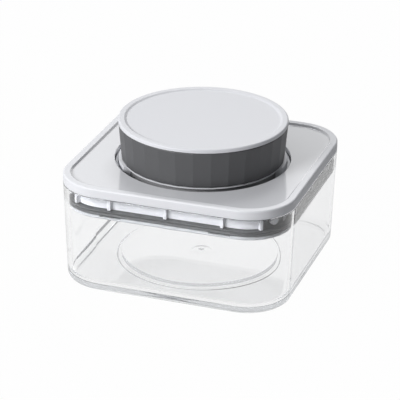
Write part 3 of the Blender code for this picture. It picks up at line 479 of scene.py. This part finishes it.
def squareLoop(bm, half, z):
    # A rounded square outline, from a plain square with its corners bevelled round.
    core = tubCorner["centre"]
    made = bmesh.ops.create_grid(bm, x_segments=1, y_segments=1, size=half)
    turned = bmesh.ops.bevel(
        bm, geom=made["verts"], offset=half - core, segments=tubCorner["steps"], profile=0.5,
        affect="VERTICES", material=-1, offset_type="OFFSET",
    )
    face = next(face for face in bm.faces if set(turned["verts"]) & set(face.verts))
    sides = [edge for edge in face.edges if edge.calc_length() > core]
    held = bmesh.ops.subdivide_edges(bm, edges=sides, cuts=2)["geom_inner"]
    near = core - tubCorner["hold"]
    for vert in vertsIn(held):
        for axis in (0, 1):
            if abs(vert.co[axis]) < core:
                vert.co[axis] = near if vert.co[axis] > 0 else -near
    edges = list(face.edges)
    bmesh.ops.translate(bm, verts=list(face.verts), vec=(0, 0, z))
    bmesh.ops.delete(bm, geom=[face], context="FACES_ONLY")
    return edges


def nextSquare(bm, edges, half, z):
    # Draws the outline out to another half width and height, with its corner centres kept.
    grown = bmesh.ops.extrude_edge_only(bm, edges=edges)["geom"]
    core = tubCorner["centre"]
    for vert in vertsIn(grown):
        middle = Vector((max(-core, min(core, vert.co.x)), max(-core, min(core, vert.co.y))))
        away = (vert.co.xy - middle).normalized()
        vert.co.xy = middle + away * (half - core)
        vert.co.z = z
    return edgesIn(grown)


def heldFlats(profile):
    # Adds a point close to each end of every long straight part.
    full = [profile[0]]
    for start, end in zip(profile, profile[1:]):
        span = hypot(end[0] - start[0], end[1] - start[1])
        if span > tubCorner["longFlat"]:
            share = tubCorner["hold"] / span
            for part in (share, 1 - share):
                full.append(tuple(a + (b - a) * part for a, b in zip(start, end)))
        full.append(end)
    return full


def squareLoft(bm, profile):
    # Walls through a run of (half width, height). Returns the first and the last outline.
    profile = heldFlats(profile)
    edges = first = squareLoop(bm, *profile[0])
    for half, z in profile[1:]:
        edges = nextSquare(bm, edges, half, z)
    return first, edges


def roundLoop(bm, radius, z, steps):
    level = Matrix.Translation((0, 0, z))
    made = bmesh.ops.create_circle(bm, segments=steps, radius=radius, matrix=level)
    return list(dict.fromkeys(edge for vert in made["verts"] for edge in vert.link_edges))


def nextRound(bm, edges, radius, z):
    grown = bmesh.ops.extrude_edge_only(bm, edges=edges)["geom"]
    for vert in vertsIn(grown):
        vert.co.xy = vert.co.xy.normalized() * radius
        vert.co.z = z
    return edgesIn(grown)


def roundLoft(bm, profile, steps=ringSteps):
    # The same through a run of (radius, height).
    profile = heldFlats(profile)
    edges = first = roundLoop(bm, *profile[0], steps)
    for radius, z in profile[1:]:
        edges = nextRound(bm, edges, radius, z)
    return first, edges


def capOff(bm, edges):
    bmesh.ops.contextual_create(bm, geom=edges)


def fillBetween(bm, outer, inner):
    bmesh.ops.triangle_fill(bm, use_beauty=True, use_dissolve=False, edges=outer + inner)


def spinSolid(bm, profile, steps, centre=(0, 0)):
    # A (radius, height) profile spun round. One that starts and ends on the axis is solid.
    profile = heldFlats(profile)
    verts = [bm.verts.new((radius + centre[0], centre[1], z)) for radius, z in profile]
    edges = [bm.edges.new(pair) for pair in zip(verts, verts[1:])]
    if profile[0][0] > 0:
        edges.append(bm.edges.new((verts[-1], verts[0])))
    bmesh.ops.spin(
        bm, geom=edges, cent=(*centre, 0), axis=(0, 0, 1), angle=2 * pi, steps=steps,
        use_merge=True, use_duplicate=False,
    )


def roundEdge(centreR, centreZ, radius, start, end, steps):
    # An arc of (half width, height) points from one angle to another, in degrees.
    turns = [radians(start + (end - start) * i / steps) for i in range(steps + 1)]
    return [(centreR + radius * cos(turn), centreZ + radius * sin(turn)) for turn in turns]


def softStep(start, end, steps=8):
    # An S-shaped run from one (half width, height) to another, level at both ends.
    points = []
    for i in range(steps + 1):
        t = i / steps
        rise = t * t * (3 - 2 * t)
        points.append((start[0] + (end[0] - start[0]) * t, start[1] + (end[1] - start[1]) * rise))
    return points


def box(bm, size, matrix):
    bmesh.ops.create_cube(bm, size=1, matrix=matrix @ Matrix.Diagonal((*size, 1)))


def mirrored(side, degrees):
    # The corners mirror each other, so every other one is measured from its far side.
    return quarter - radians(degrees) if side % 2 else radians(degrees)


def wallPlace(side, along, angle, half, z):
    # X along the wall, Y into it and Z up, on the rounded square of that half width. With no
    # angle the place is on the flat of the side, or else that far round its corner.
    core = tubCorner["centre"]
    radius = half - core
    if angle:
        spot = Vector((core + radius * sin(angle), -core - radius * cos(angle), z))
    else:
        spot = Vector((along, -half, z))
    turn = Matrix.Rotation(side * quarter, 4, "Z")
    return turn @ Matrix.Translation(spot) @ Matrix.Rotation(angle, 4, "Z")


# clear tub

tubSize = {
    "topHalf": 64 * mm, "draft": 0.031, "height": 54.9 * mm, "wall": 2.4 * mm, "floor": 2.8 * mm,
    "baseRound": 3.6 * mm, "innerRound": 4.5 * mm, "rimRound": 0.25 * mm,
    "recessRadius": 46.5 * mm, "recessDepth": 1.4 * mm, "recessSlope": 0.8 * mm,
    "bendAcross": 0.25, "bendUp": 0.75,
    "gateRadius": 6.3 * mm, "gateTop": 4.6 * mm, "gateDepth": 0.16 * mm,
    "nub": 2.2 * mm, "nubTop": 0.5 * mm, "nubHeight": 0.3 * mm,
    "footSteps": 8, "rimSteps": 4, "sharp": 40,
}


def tubHalf(z):
    return tubSize["topHalf"] - tubSize["draft"] * (tubSize["height"] - z)


def recessStep(radius, z):
    # The round step from the base up to the recess's flat.
    s = tubSize
    return [
        (radius, z),
        (radius - s["recessSlope"] * s["bendAcross"], z + s["recessDepth"] * s["bendUp"]),
        (radius - s["recessSlope"], z + s["recessDepth"]),
    ]


def makeTub():
    s = tubSize
    base, innerBase = tubHalf(0), tubHalf(s["floor"]) - s["wall"]
    rimZ = s["height"] - s["rimRound"]
    innerZ = s["floor"] + s["innerRound"]
    rimIn = s["topHalf"] - s["wall"] + s["rimRound"]
    profile = roundEdge(base - s["baseRound"], s["baseRound"], s["baseRound"], -90, 0, s["footSteps"])
    profile += roundEdge(s["topHalf"] - s["rimRound"], rimZ, s["rimRound"], 0, 90, s["rimSteps"])
    profile += roundEdge(rimIn, rimZ, s["rimRound"], 90, 180, s["rimSteps"])
    profile += roundEdge(innerBase - s["innerRound"], innerZ, s["innerRound"], 0, -90, s["footSteps"])
    hold = tubCorner["hold"]
    start, end = [(half - hold, z) for half, z in (profile[0], profile[-1])]
    bm = bmesh.new()
    outside, inside = squareLoft(bm, [start] + profile + [end])
    under = recessStep(s["recessRadius"], 0) + [
        (s["gateRadius"], s["recessDepth"]), (s["gateTop"], s["recessDepth"] + s["gateDepth"]),
    ]
    ring, centre = roundLoft(bm, under)
    fillBetween(bm, outside, ring)
    capOff(bm, centre)
    step = s["recessRadius"] - s["wall"]
    raised = s["floor"] + s["recessDepth"]
    over = recessStep(step, s["floor"]) + [(step - s["recessSlope"] - hold, raised)]
    over += softStep((s["nub"], raised), (s["nubTop"], raised + s["nubHeight"]))
    ring, centre = roundLoft(bm, over)
    fillBetween(bm, inside, ring)
    capOff(bm, centre)
    tub = newPiece("clearTub", bm, clearPlastic, s["sharp"])
    standsFor(tub, "tub", "clear", "tub")


makeTub()
print("clear tub made")


# lid

lidSize = {
    "half": 64 * mm, "bottom": 55.0 * mm, "top": 60.4 * mm, "lipWall": 2.8 * mm, "edge": 0.7 * mm,
    "lipRound": 1.0 * mm, "crest": 3.7 * mm, "rim": 4.9 * mm,
    "plateTop": 59.2 * mm, "plateUnder": 57.2 * mm, "well": 47.6 * mm,
    "wellEdge": 0.5 * mm, "wellFloor": 39.0 * mm, "drum": 49.5 * mm, "drumBottom": 37.2 * mm,
    "barrelOut": 38.6 * mm, "barrelIn": 37.0 * mm, "barrelTop": 58.0 * mm,
    "skirtHalf": 57.98 * mm, "skirtBottom": 47.9 * mm, "skirtWall": 2.0 * mm,
    "ribWidth": 1.8 * mm, "ribReach": 2.3 * mm, "ribAlong": 31 * mm, "ribEdge": 0.25 * mm,
    "postAngle": 35, "tabAngle": 54, "tabWidth": 4.5 * mm, "tabThick": 1.4 * mm, "tabBottom": 50 * mm,
    "tabRound": 0.495, "windowStart": 38.5, "windowEnd": 80, "sink": 0.3 * mm,
    "bossPlace": 44 * mm, "bossRadius": 3.6 * mm, "bossBottom": 44.9 * mm,
    "socketOut": 15.0 * mm, "socketIn": 13.4 * mm, "socketBottom": 34.2 * mm, "socketSink": 0.5 * mm,
    "edgeSteps": 4, "lipSteps": 8, "wellSteps": 5, "tabSteps": 8, "socketSteps": 48, "bossSteps": 24,
    "sharp": 35,
}
windowSpan = (radians(lidSize["windowStart"]), radians(lidSize["windowEnd"]))


def makeLidPlate():
    s = lidSize
    lip, topRound = s["half"] - s["lipWall"], s["lipRound"]
    crest, rimIn = s["half"] - s["crest"], s["half"] - s["rim"]
    profile = [(lip, s["plateUnder"]), (lip, s["bottom"])]
    profile += roundEdge(s["half"] - s["edge"], s["bottom"] + s["edge"], s["edge"], -90, 0, s["edgeSteps"])
    profile += roundEdge(s["half"] - topRound, s["top"] - topRound, topRound, 0, 90, s["lipSteps"])
    profile += softStep((crest, s["top"]), (rimIn, s["plateTop"]))
    profile.append((rimIn - tubCorner["hold"], s["plateTop"]))
    bm = bmesh.new()
    under, plate = squareLoft(bm, profile)
    wellEdge = s["wellEdge"]
    top = roundEdge(s["well"] + wellEdge, s["plateTop"] - wellEdge, wellEdge, 90, 180, s["wellSteps"])
    down = [(top[0][0] + tubCorner["hold"], s["plateTop"])] + top + [
        (s["well"], s["wellFloor"]), (s["barrelOut"], s["wellFloor"]), (s["barrelOut"], s["barrelTop"]),
        (s["barrelIn"], s["barrelTop"]), (s["barrelIn"], s["wellFloor"]),
    ]
    ring, centre = roundLoft(bm, down)
    fillBetween(bm, plate, ring)
    capOff(bm, centre)
    ring, centre = roundLoft(bm, [(s["drum"], s["plateUnder"]), (s["drum"], s["drumBottom"])])
    fillBetween(bm, under, ring)
    capOff(bm, centre)
    socketTop = s["drumBottom"] + s["socketSink"]
    socket = [
        (s["socketOut"], socketTop), (s["socketOut"], s["socketBottom"]),
        (s["socketIn"], s["socketBottom"]), (s["socketIn"], socketTop),
    ]
    spinSolid(bm, socket, s["socketSteps"])
    plate = newPiece("lidPlate", bm, glossWhite, s["sharp"])
    standsFor(plate, "lid", "white", "lid_shell")


def inWindow(face):
    # True on a corner's part of the skirt that the window opens, measured from the front or back.
    at = face.calc_center_median()
    core = tubCorner["centre"]
    across, deep = abs(at.x) - core, abs(at.y) - core
    return across > 0 and deep > 0 and windowSpan[0] < atan(across / deep) < windowSpan[1]


def cornerWall(bm, half, low, high, wall, keep):
    # A square wall of which only the faces that keep() picks stay.
    edges = squareLoop(bm, half, low)
    nextSquare(bm, edges, half, high)
    bm.faces.ensure_lookup_table()
    gone = [face for face in bm.faces if not keep(face)]
    bmesh.ops.delete(bm, geom=gone, context="FACES")
    bmesh.ops.recalc_face_normals(bm, faces=bm.faces)
    bmesh.ops.solidify(bm, geom=list(bm.faces), thickness=wall)


def addMesh(bm, other):
    mesh = bpy.data.meshes.new("part")
    other.to_mesh(mesh)
    other.free()
    bm.from_mesh(mesh)
    bpy.data.meshes.remove(mesh)


def addRib(bm, side, along, angle, top):
    s = lidSize
    tall = top - s["skirtBottom"]
    reach = s["ribReach"] + s["skirtWall"] / 2
    middle = s["skirtHalf"] + s["ribReach"] - reach / 2
    rib = bmesh.new()
    place = wallPlace(side, along, angle, middle, s["skirtBottom"] + tall / 2)
    box(rib, (s["ribWidth"], reach, tall), place)
    rounded(rib, list(rib.edges), s["ribEdge"])
    addMesh(bm, rib)


def addTab(bm, side, top):
    # The finger in a corner's window, round at its lower end.
    s = lidSize
    tall = top - s["tabBottom"]
    middle = s["skirtHalf"] + s["ribReach"] - s["tabThick"] / 2
    tab = bmesh.new()
    box(tab, (s["tabWidth"], s["tabThick"], tall), Matrix.Identity(4))
    low = [edge for edge in tab.edges if all(vert.co.z < 0 for vert in edge.verts)]
    ends = [edge for edge in low if abs(edge.verts[0].co.x - edge.verts[1].co.x) < weldLimit]
    rounded(tab, ends, s["tabWidth"] * s["tabRound"], s["tabSteps"])
    place = wallPlace(side, 0, mirrored(side, s["tabAngle"]), middle, s["tabBottom"] + tall / 2)
    bmesh.ops.transform(tab, matrix=place, verts=tab.verts)
    addMesh(bm, tab)


def addBoss(bm, side, top):
    s = lidSize
    centre = Matrix.Rotation(side * quarter, 3, "Z") @ Vector((s["bossPlace"], s["bossPlace"], 0))
    outline = [(0, top), (s["bossRadius"], top), (s["bossRadius"], s["bossBottom"]), (0, s["bossBottom"])]
    spinSolid(bm, outline, s["bossSteps"], (centre.x, centre.y))


def makeSkirt():
    s = lidSize
    bm = bmesh.new()
    cornerWall(
        bm, s["skirtHalf"], s["skirtBottom"], s["plateUnder"], s["skirtWall"],
        lambda face: not inWindow(face),
    )
    top = s["plateUnder"] + s["sink"]
    for side in range(sideCount):
        for along in (-s["ribAlong"], 0, s["ribAlong"]):
            addRib(bm, side, along, 0, top)
        addRib(bm, side, 0, mirrored(side, s["postAngle"]), top)
        addTab(bm, side, top)
        addBoss(bm, side, top)
    skirt = newPiece("lidSkirt", bm, skirtWhite, s["sharp"])
    standsFor(skirt, "lid", "white")


makeLidPlate()
makeSkirt()
print("lid made")


# gasket

gasketSize = {
    "half": 60.98 * mm, "bed": 55.88 * mm, "top": 47.6 * mm, "bottom": 44.9 * mm,
    "groove": 0.5 * mm, "grooveHalf": 0.15 * mm, "lipRound": 0.35 * mm,
    "keyAlong": 30 * mm, "keyWidth": 11.2 * mm, "keyDrop": 0.7 * mm, "keyDeep": 1.6 * mm,
    "keySink": 0.2 * mm, "keyEdge": 0.15 * mm,
    "earWall": 1.4 * mm, "earTop": 54.4 * mm, "earHalf": 57.98 * mm, "earSink": 0.5 * mm,
    "lipTurn": 60, "lipSteps": 5, "sharp": 35,
}


def makeGasket():
    s = gasketSize
    r = s["lipRound"]
    middle = (s["top"] + s["bottom"]) / 2
    bm = bmesh.new()
    profile = [(s["bed"], s["top"]), (s["bed"], s["bottom"])]
    profile += roundEdge(s["half"] - r, s["bottom"] + r, r, -90, s["lipTurn"], s["lipSteps"])
    profile += [(s["half"] - s["groove"], middle + rise) for rise in (-s["grooveHalf"], s["grooveHalf"])]
    profile += roundEdge(s["half"] - r, s["top"] - r, r, -s["lipTurn"], 90, s["lipSteps"])
    profile += [profile[0]]
    squareLoft(bm, profile)
    for side in range(sideCount):
        for along in (-s["keyAlong"], s["keyAlong"]):
            half = s["half"] - 2 * s["groove"] - s["keyDeep"] / 2
            place = wallPlace(side, along, 0, half, s["bottom"] - s["keyDrop"] / 2)
            key = bmesh.new()
            box(key, (s["keyWidth"], s["keyDeep"], s["keyDrop"] + s["keySink"]), place)
            rounded(key, list(key.edges), s["keyEdge"])
            addMesh(bm, key)
    ears = bmesh.new()
    cornerWall(ears, s["earHalf"], s["top"] - s["earSink"], s["earTop"], s["earWall"], inWindow)
    addMesh(bm, ears)
    gasket = newPiece("gasketRing", bm, sealGrey, s["sharp"])
    standsFor(gasket, "lid", "silicone", "gasket")


makeGasket()
print("gasket made")


# knob

knobSize = {
    "facets": 30, "ringBottom": 59.8 * mm, "ringTop": 79.65 * mm, "ringTopRadius": 45.8 * mm,
    "ringDraw": 1.6 * mm, "ringEdge": 0.4 * mm, "ringBend": 0.3, "ringBore": 43.3 * mm,
    "capBottom": 79.95 * mm, "capTop": 82.0 * mm, "capRound": 0.9 * mm, "capRim": 3.6 * mm,
    "capRecess": 0.8 * mm, "capSlope": 1.2 * mm, "capSeat": 43.0 * mm, "capSeatBore": 41.2 * mm,
    "capSeatBottom": 78.85 * mm, "capUnder": 79.7 * mm,
    "boreSteps": 90, "roundSteps": 8, "capSteps": 128, "ringSharp": 6, "capSharp": 40,
}


def makeGripRing():
    s = knobSize
    low, high = s["ringBottom"], s["ringTop"]
    foot, head = s["ringTopRadius"] - s["ringDraw"], s["ringTopRadius"]
    edge = s["ringEdge"]
    bend = edge * s["ringBend"]
    outline = [
        (foot - edge, low), (foot - bend, low + bend), (foot, low + edge),
        (head, high - edge), (head - bend, high - bend), (head - edge, high),
    ]
    bm = bmesh.new()
    bottom, top = roundLoft(bm, outline, s["facets"])
    bore, boreTop = roundLoft(bm, [(s["ringBore"], low), (s["ringBore"], high)], s["boreSteps"])
    fillBetween(bm, bottom, bore)
    fillBetween(bm, top, boreTop)
    ring = newPiece("gripRing", bm, gripGrey, s["ringSharp"])
    standsFor(ring, "knob", "grip", "grip_ring")


def makeKnobCap():
    s = knobSize
    radius, inner = s["ringTopRadius"], s["ringTopRadius"] - s["capRim"]
    floor = s["capTop"] - s["capRecess"]
    slope, turn = s["capSlope"], s["capRound"]
    bm = bmesh.new()
    profile = [(0, floor)] + softStep((inner - slope, floor), (inner + slope / 2, s["capTop"]))
    profile += roundEdge(radius - turn, s["capTop"] - turn, turn, 90, 0, s["roundSteps"])
    profile += [
        (radius, s["capBottom"]), (s["capSeat"], s["capBottom"]), (s["capSeat"], s["capSeatBottom"]),
        (s["capSeatBore"], s["capSeatBottom"]), (s["capSeatBore"], s["capUnder"]), (0, s["capUnder"]),
    ]
    spinSolid(bm, profile, s["capSteps"])
    cap = newPiece("knobCap", bm, satinWhite, s["capSharp"])
    standsFor(cap, "knob", "white", "knob_cap")


coreSize = {
    "pivotBore": 3.0 * mm, "dishTop": 75.55 * mm, "dish": 11 * mm, "deckTop": 78.55 * mm, "deck": 2 * mm,
    "sleeve": 43.0 * mm, "sleeveWall": 2 * mm,
    "collarTop": 59.5 * mm, "collarBottom": 58.6 * mm, "collar": 43.8 * mm, "collarEdge": 0.3 * mm,
    "tail": 41.0 * mm, "tailBore": 39.2 * mm, "tailBottom": 49.6 * mm,
    "lugs": 2, "lugStart": 19, "lugTip": 47.0 * mm, "lugWidth": 8 * mm,
    "lugLow": 51.6 * mm, "lugHigh": 54.2 * mm, "tipSink": 0.6 * mm,
    "block": 45.6 * mm, "blockTop": 59.7 * mm, "blockSpan": 43, "blockEdge": 0.25 * mm, "blockSink": 0.9 * mm,
    "blockSteps": 10, "sharp": 35,
}


def softened(bm, offset):
    sharp = radians(coreSize["sharp"])
    rounded(bm, [edge for edge in bm.edges if edge.calc_face_angle(0) > sharp], offset)


def makeLug(bm, angle):
    # A broad block under the collar, with the tip that runs in the slot.
    s = coreSize
    span, root, top = radians(s["blockSpan"]), s["tail"] - s["blockSink"], s["blockTop"]
    block = bmesh.new()
    corners = [(root, s["lugLow"]), (s["block"], s["lugLow"]), (s["block"], top), (root, top)]
    face = block.faces.new([block.verts.new((radius, 0, z)) for radius, z in corners])
    bmesh.ops.spin(
        block, geom=[face], cent=(0, 0, 0), axis=(0, 0, 1), angle=span, steps=s["blockSteps"],
        use_merge=False, use_duplicate=False,
    )
    softened(block, s["blockEdge"])
    bmesh.ops.rotate(block, verts=block.verts, matrix=Matrix.Rotation(angle - span / 2, 3, "Z"))
    addMesh(bm, block)
    tip = bmesh.new()
    start = s["block"] - s["tipSink"]
    place = Matrix.Translation(((start + s["lugTip"]) / 2, 0, (s["lugHigh"] + s["lugLow"]) / 2))
    box(tip, (s["lugTip"] - start, s["lugWidth"], s["lugHigh"] - s["lugLow"]), place)
    softened(tip, s["blockEdge"])
    bmesh.ops.rotate(tip, verts=tip.verts, matrix=Matrix.Rotation(angle, 3, "Z"))
    addMesh(bm, tip)


def makeKnobCore():
    s = coreSize
    inner, under, edge = s["sleeve"] - s["sleeveWall"], s["deckTop"] - s["deck"], s["collarEdge"]
    dishOut, dishUnder = s["dish"] + s["deck"], s["dishTop"] - s["deck"]
    outline = [
        (s["pivotBore"], s["dishTop"]), (s["dish"], s["dishTop"]), (s["dish"], s["deckTop"]),
        (s["sleeve"], s["deckTop"]), (s["sleeve"], s["collarTop"]), (s["collar"], s["collarTop"]),
        (s["collar"], s["collarBottom"] + edge), (s["collar"] - edge, s["collarBottom"]),
        (s["tail"], s["collarBottom"]), (s["tail"], s["tailBottom"]), (s["tailBore"], s["tailBottom"]),
        (s["tailBore"], s["collarBottom"]), (inner, s["collarTop"]), (inner, under),
        (dishOut, under), (dishOut, dishUnder), (s["pivotBore"], dishUnder),
    ]
    bm = bmesh.new()
    spinSolid(bm, outline, ringSteps)
    for number in range(s["lugs"]):
        makeLug(bm, radians(s["lugStart"]) + 2 * pi * number / s["lugs"])
    core = newPiece("knobCore", bm, coreWhitePaintedShade, s["sharp"])
    standsFor(core, "knob", "white", "knob_core")


makeGripRing()
makeKnobCap()
makeKnobCore()
print("knob made")


# pieces that stay as the CAD made them

keptFinishes = {
    "base_frame": mattWhite,
    "base_screw_1": screwSteel,
    "base_screw_2": screwSteel,
    "base_screw_3": screwSteel,
    "base_screw_4": screwSteel,
    "inlet_valve": valveClear,
    "filter_disc": filterFelt,
    "filter_cover": mattWhite,
    "cam_track": mattWhite,
    "guide_pin_1": screwSteel,
    "guide_pin_2": screwSteel,
    "piston": mattWhite,
    "piston_seal": sealGrey,
    "outlet_valve": valveClear,
    "pivot_washer": screwSteel,
    "pivot_screw": screwSteel,
}
for node, finish in keptFinishes.items():
    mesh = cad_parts[node].data
    mesh.materials.clear()
    mesh.materials.append(finish)
print("kept pieces finished")


# stage, light and camera

stageLook = {
    "floorHalf": 1.5, "floorLevel": -0.1 * mm, "floorColour": (0.42, 0.42, 0.43), "floorWhite": 0.985,
    "floorGloss": 0.6, "ambientColour": (0.96, 0.98, 1.0),
    "ambientLeft": 0.40, "ambientRight": 0.08, "ambientTop": 0.14,
    "sky": (0.35, 0.8), "skyTop": 0.45, "side": (0.1, 0.8), "sideShade": 0.4,
}


def makeFloor():
    bm = bmesh.new()
    level = Matrix.Translation((0, 0, stageLook["floorLevel"]))
    bmesh.ops.create_grid(bm, x_segments=1, y_segments=1, size=stageLook["floorHalf"], matrix=level)
    floor = newPiece("floor", bm, makeFloorMaterial())


def sightRays(nodes, links, gloss=1.0):
    # 1 where the camera sees the background, straight or through glass, and a share of it in gloss.
    path = nodes.new("ShaderNodeLightPath")
    share = mathNode(nodes, "MULTIPLY", gloss)
    links.new(path.outputs["Is Glossy Ray"], share.inputs[0])
    first = mathNode(nodes, "MAXIMUM")
    second = mathNode(nodes, "MAXIMUM")
    links.new(path.outputs["Is Camera Ray"], first.inputs[0])
    links.new(share.outputs[0], first.inputs[1])
    links.new(first.outputs[0], second.inputs[0])
    links.new(path.outputs["Is Transmission Ray"], second.inputs[1])
    direct = mathNode(nodes, "LESS_THAN", 0.5)  # not after a matt surface
    links.new(path.outputs["Diffuse Depth"], direct.inputs[0])
    seen = mathNode(nodes, "MULTIPLY")
    links.new(second.outputs[0], seen.inputs[0])
    links.new(direct.outputs[0], seen.inputs[1])
    return seen.outputs[0]


def makeFloorMaterial():
    made = bpy.data.materials.new("pale floor")
    made.use_nodes = True
    nodes, links = made.node_tree.nodes, made.node_tree.links
    nodes.clear()
    out = nodes.new("ShaderNodeOutputMaterial")
    paint = nodes.new("ShaderNodeBsdfDiffuse")
    paint.inputs["Color"].default_value = (*stageLook["floorColour"], 1)
    glow = nodes.new("ShaderNodeEmission")
    glow.inputs["Color"].default_value = (1, 1, 1, 1)
    share = mathNode(nodes, "MULTIPLY", stageLook["floorWhite"])
    links.new(sightRays(nodes, links, stageLook["floorGloss"]), share.inputs[0])
    mix = nodes.new("ShaderNodeMixShader")
    links.new(share.outputs[0], mix.inputs["Fac"])
    links.new(paint.outputs[0], mix.inputs[1])
    links.new(glow.outputs[0], mix.inputs[2])
    links.new(mix.outputs[0], out.inputs["Surface"])
    return made


def makeWorld():
    # White as seen low down, darker overhead and to the right for what gloss and glass pick up,
    # softer still as light.
    world = bpy.data.worlds.new("white studio")
    world.use_nodes = True
    nodes, links = world.node_tree.nodes, world.node_tree.links
    nodes.clear()
    out = nodes.new("ShaderNodeOutputWorld")
    seen = nodes.new("ShaderNodeBackground")
    seen.inputs["Color"].default_value = (1, 1, 1, 1)
    place = nodes.new("ShaderNodeTexCoord")
    split = nodes.new("ShaderNodeSeparateXYZ")
    overhead = rangeNode(nodes, stageLook["sky"], (1, stageLook["skyTop"]), smooth=True)
    links.new(place.outputs["Generated"], split.inputs[0])
    links.new(split.outputs["Z"], overhead.inputs["Value"])
    path = nodes.new("ShaderNodeLightPath")
    sideways = rangeNode(nodes, stageLook["side"], (1, stageLook["sideShade"]), smooth=True)
    links.new(split.outputs["X"], sideways.inputs["Value"])
    shaded = mathNode(nodes, "MULTIPLY")
    links.new(overhead.outputs["Result"], shaded.inputs[0])
    links.new(sideways.outputs["Result"], shaded.inputs[1])
    straight = mathNode(nodes, "MAXIMUM")
    links.new(shaded.outputs[0], straight.inputs[0])
    links.new(path.outputs["Is Camera Ray"], straight.inputs[1])
    links.new(straight.outputs[0], seen.inputs["Strength"])
    fill = nodes.new("ShaderNodeBackground")
    fill.inputs["Color"].default_value = (*stageLook["ambientColour"], 1)
    across = rangeNode(nodes, (-1, 1), (stageLook["ambientLeft"], stageLook["ambientRight"]))
    links.new(split.outputs["X"], across.inputs["Value"])
    above = rangeNode(nodes, (0, 1), (0, stageLook["ambientTop"]))
    links.new(split.outputs["Z"], above.inputs["Value"])
    soft = mathNode(nodes, "ADD")
    links.new(across.outputs["Result"], soft.inputs[0])
    links.new(above.outputs["Result"], soft.inputs[1])
    links.new(soft.outputs[0], fill.inputs["Strength"])
    mix = nodes.new("ShaderNodeMixShader")
    links.new(sightRays(nodes, links), mix.inputs["Fac"])
    links.new(fill.outputs[0], mix.inputs[1])
    links.new(seen.outputs[0], mix.inputs[2])
    links.new(mix.outputs[0], out.inputs["Surface"])
    bpy.context.scene.world = world


lampAim = (0, 0, 50 * mm)
lampLooks = [
    {"name": "key", "place": (-0.55, -0.953, 0.635), "size": 0.5, "power": 13.2, "colour": (1, 1, 1)},
    {"name": "back", "place": (-0.2, 0.85, 1.0), "size": 0.5, "power": 5.5, "colour": (1, 1, 1)},
]


def makeLamps():
    for look in lampLooks:
        lamp = bpy.data.lights.new(look["name"], "AREA")
        lamp.shape = "SQUARE"
        lamp.size = look["size"]
        lamp.energy = look["power"]
        lamp.color = look["colour"]
        stand = bpy.data.objects.new(look["name"], lamp)
        stand.location = look["place"]
        aim = Vector(lampAim) - Vector(look["place"])
        stand.rotation_euler = aim.to_track_quat("-Z", "Y").to_euler()
        stand.visible_transmission = False
        bpy.context.scene.collection.objects.link(stand)


cameraLook = {
    "azimuth": 18.578, "elevation": 23.90, "roll": 0.694, "distance": 1.109, "target": (0, 0, 0.040),
    "focalPixels": 2034.0, "targetX": 202.553, "targetY": 188.468, "frame": 400, "sensor": 36,
}


def makeCamera():
    s = cameraLook
    around, up = radians(s["azimuth"]), radians(s["elevation"])
    target = Vector(s["target"])
    back = Vector((sin(around) * cos(up), -cos(around) * cos(up), sin(up)))
    right = Vector((cos(around), sin(around), 0))
    top = back.cross(right)
    turn, tip = cos(radians(s["roll"])), sin(radians(s["roll"]))
    axes = Matrix((turn * right + tip * top, turn * top - tip * right, back)).transposed()
    lens = bpy.data.cameras.new("camera")
    lens.sensor_width = s["sensor"]
    lens.lens = s["focalPixels"] * s["sensor"] / s["frame"]
    lens.shift_x = (s["frame"] / 2 - s["targetX"]) / s["frame"]
    lens.shift_y = (s["targetY"] - s["frame"] / 2) / s["frame"]
    camera = bpy.data.objects.new("camera", lens)
    camera.matrix_world = Matrix.Translation(target + back * s["distance"]) @ axes.to_4x4()
    bpy.context.scene.collection.objects.link(camera)
    bpy.context.scene.camera = camera


makeFloor()
makeWorld()
makeLamps()
makeCamera()
bpy.context.scene.view_settings.view_transform = "Standard"
print("stage, light and camera set")
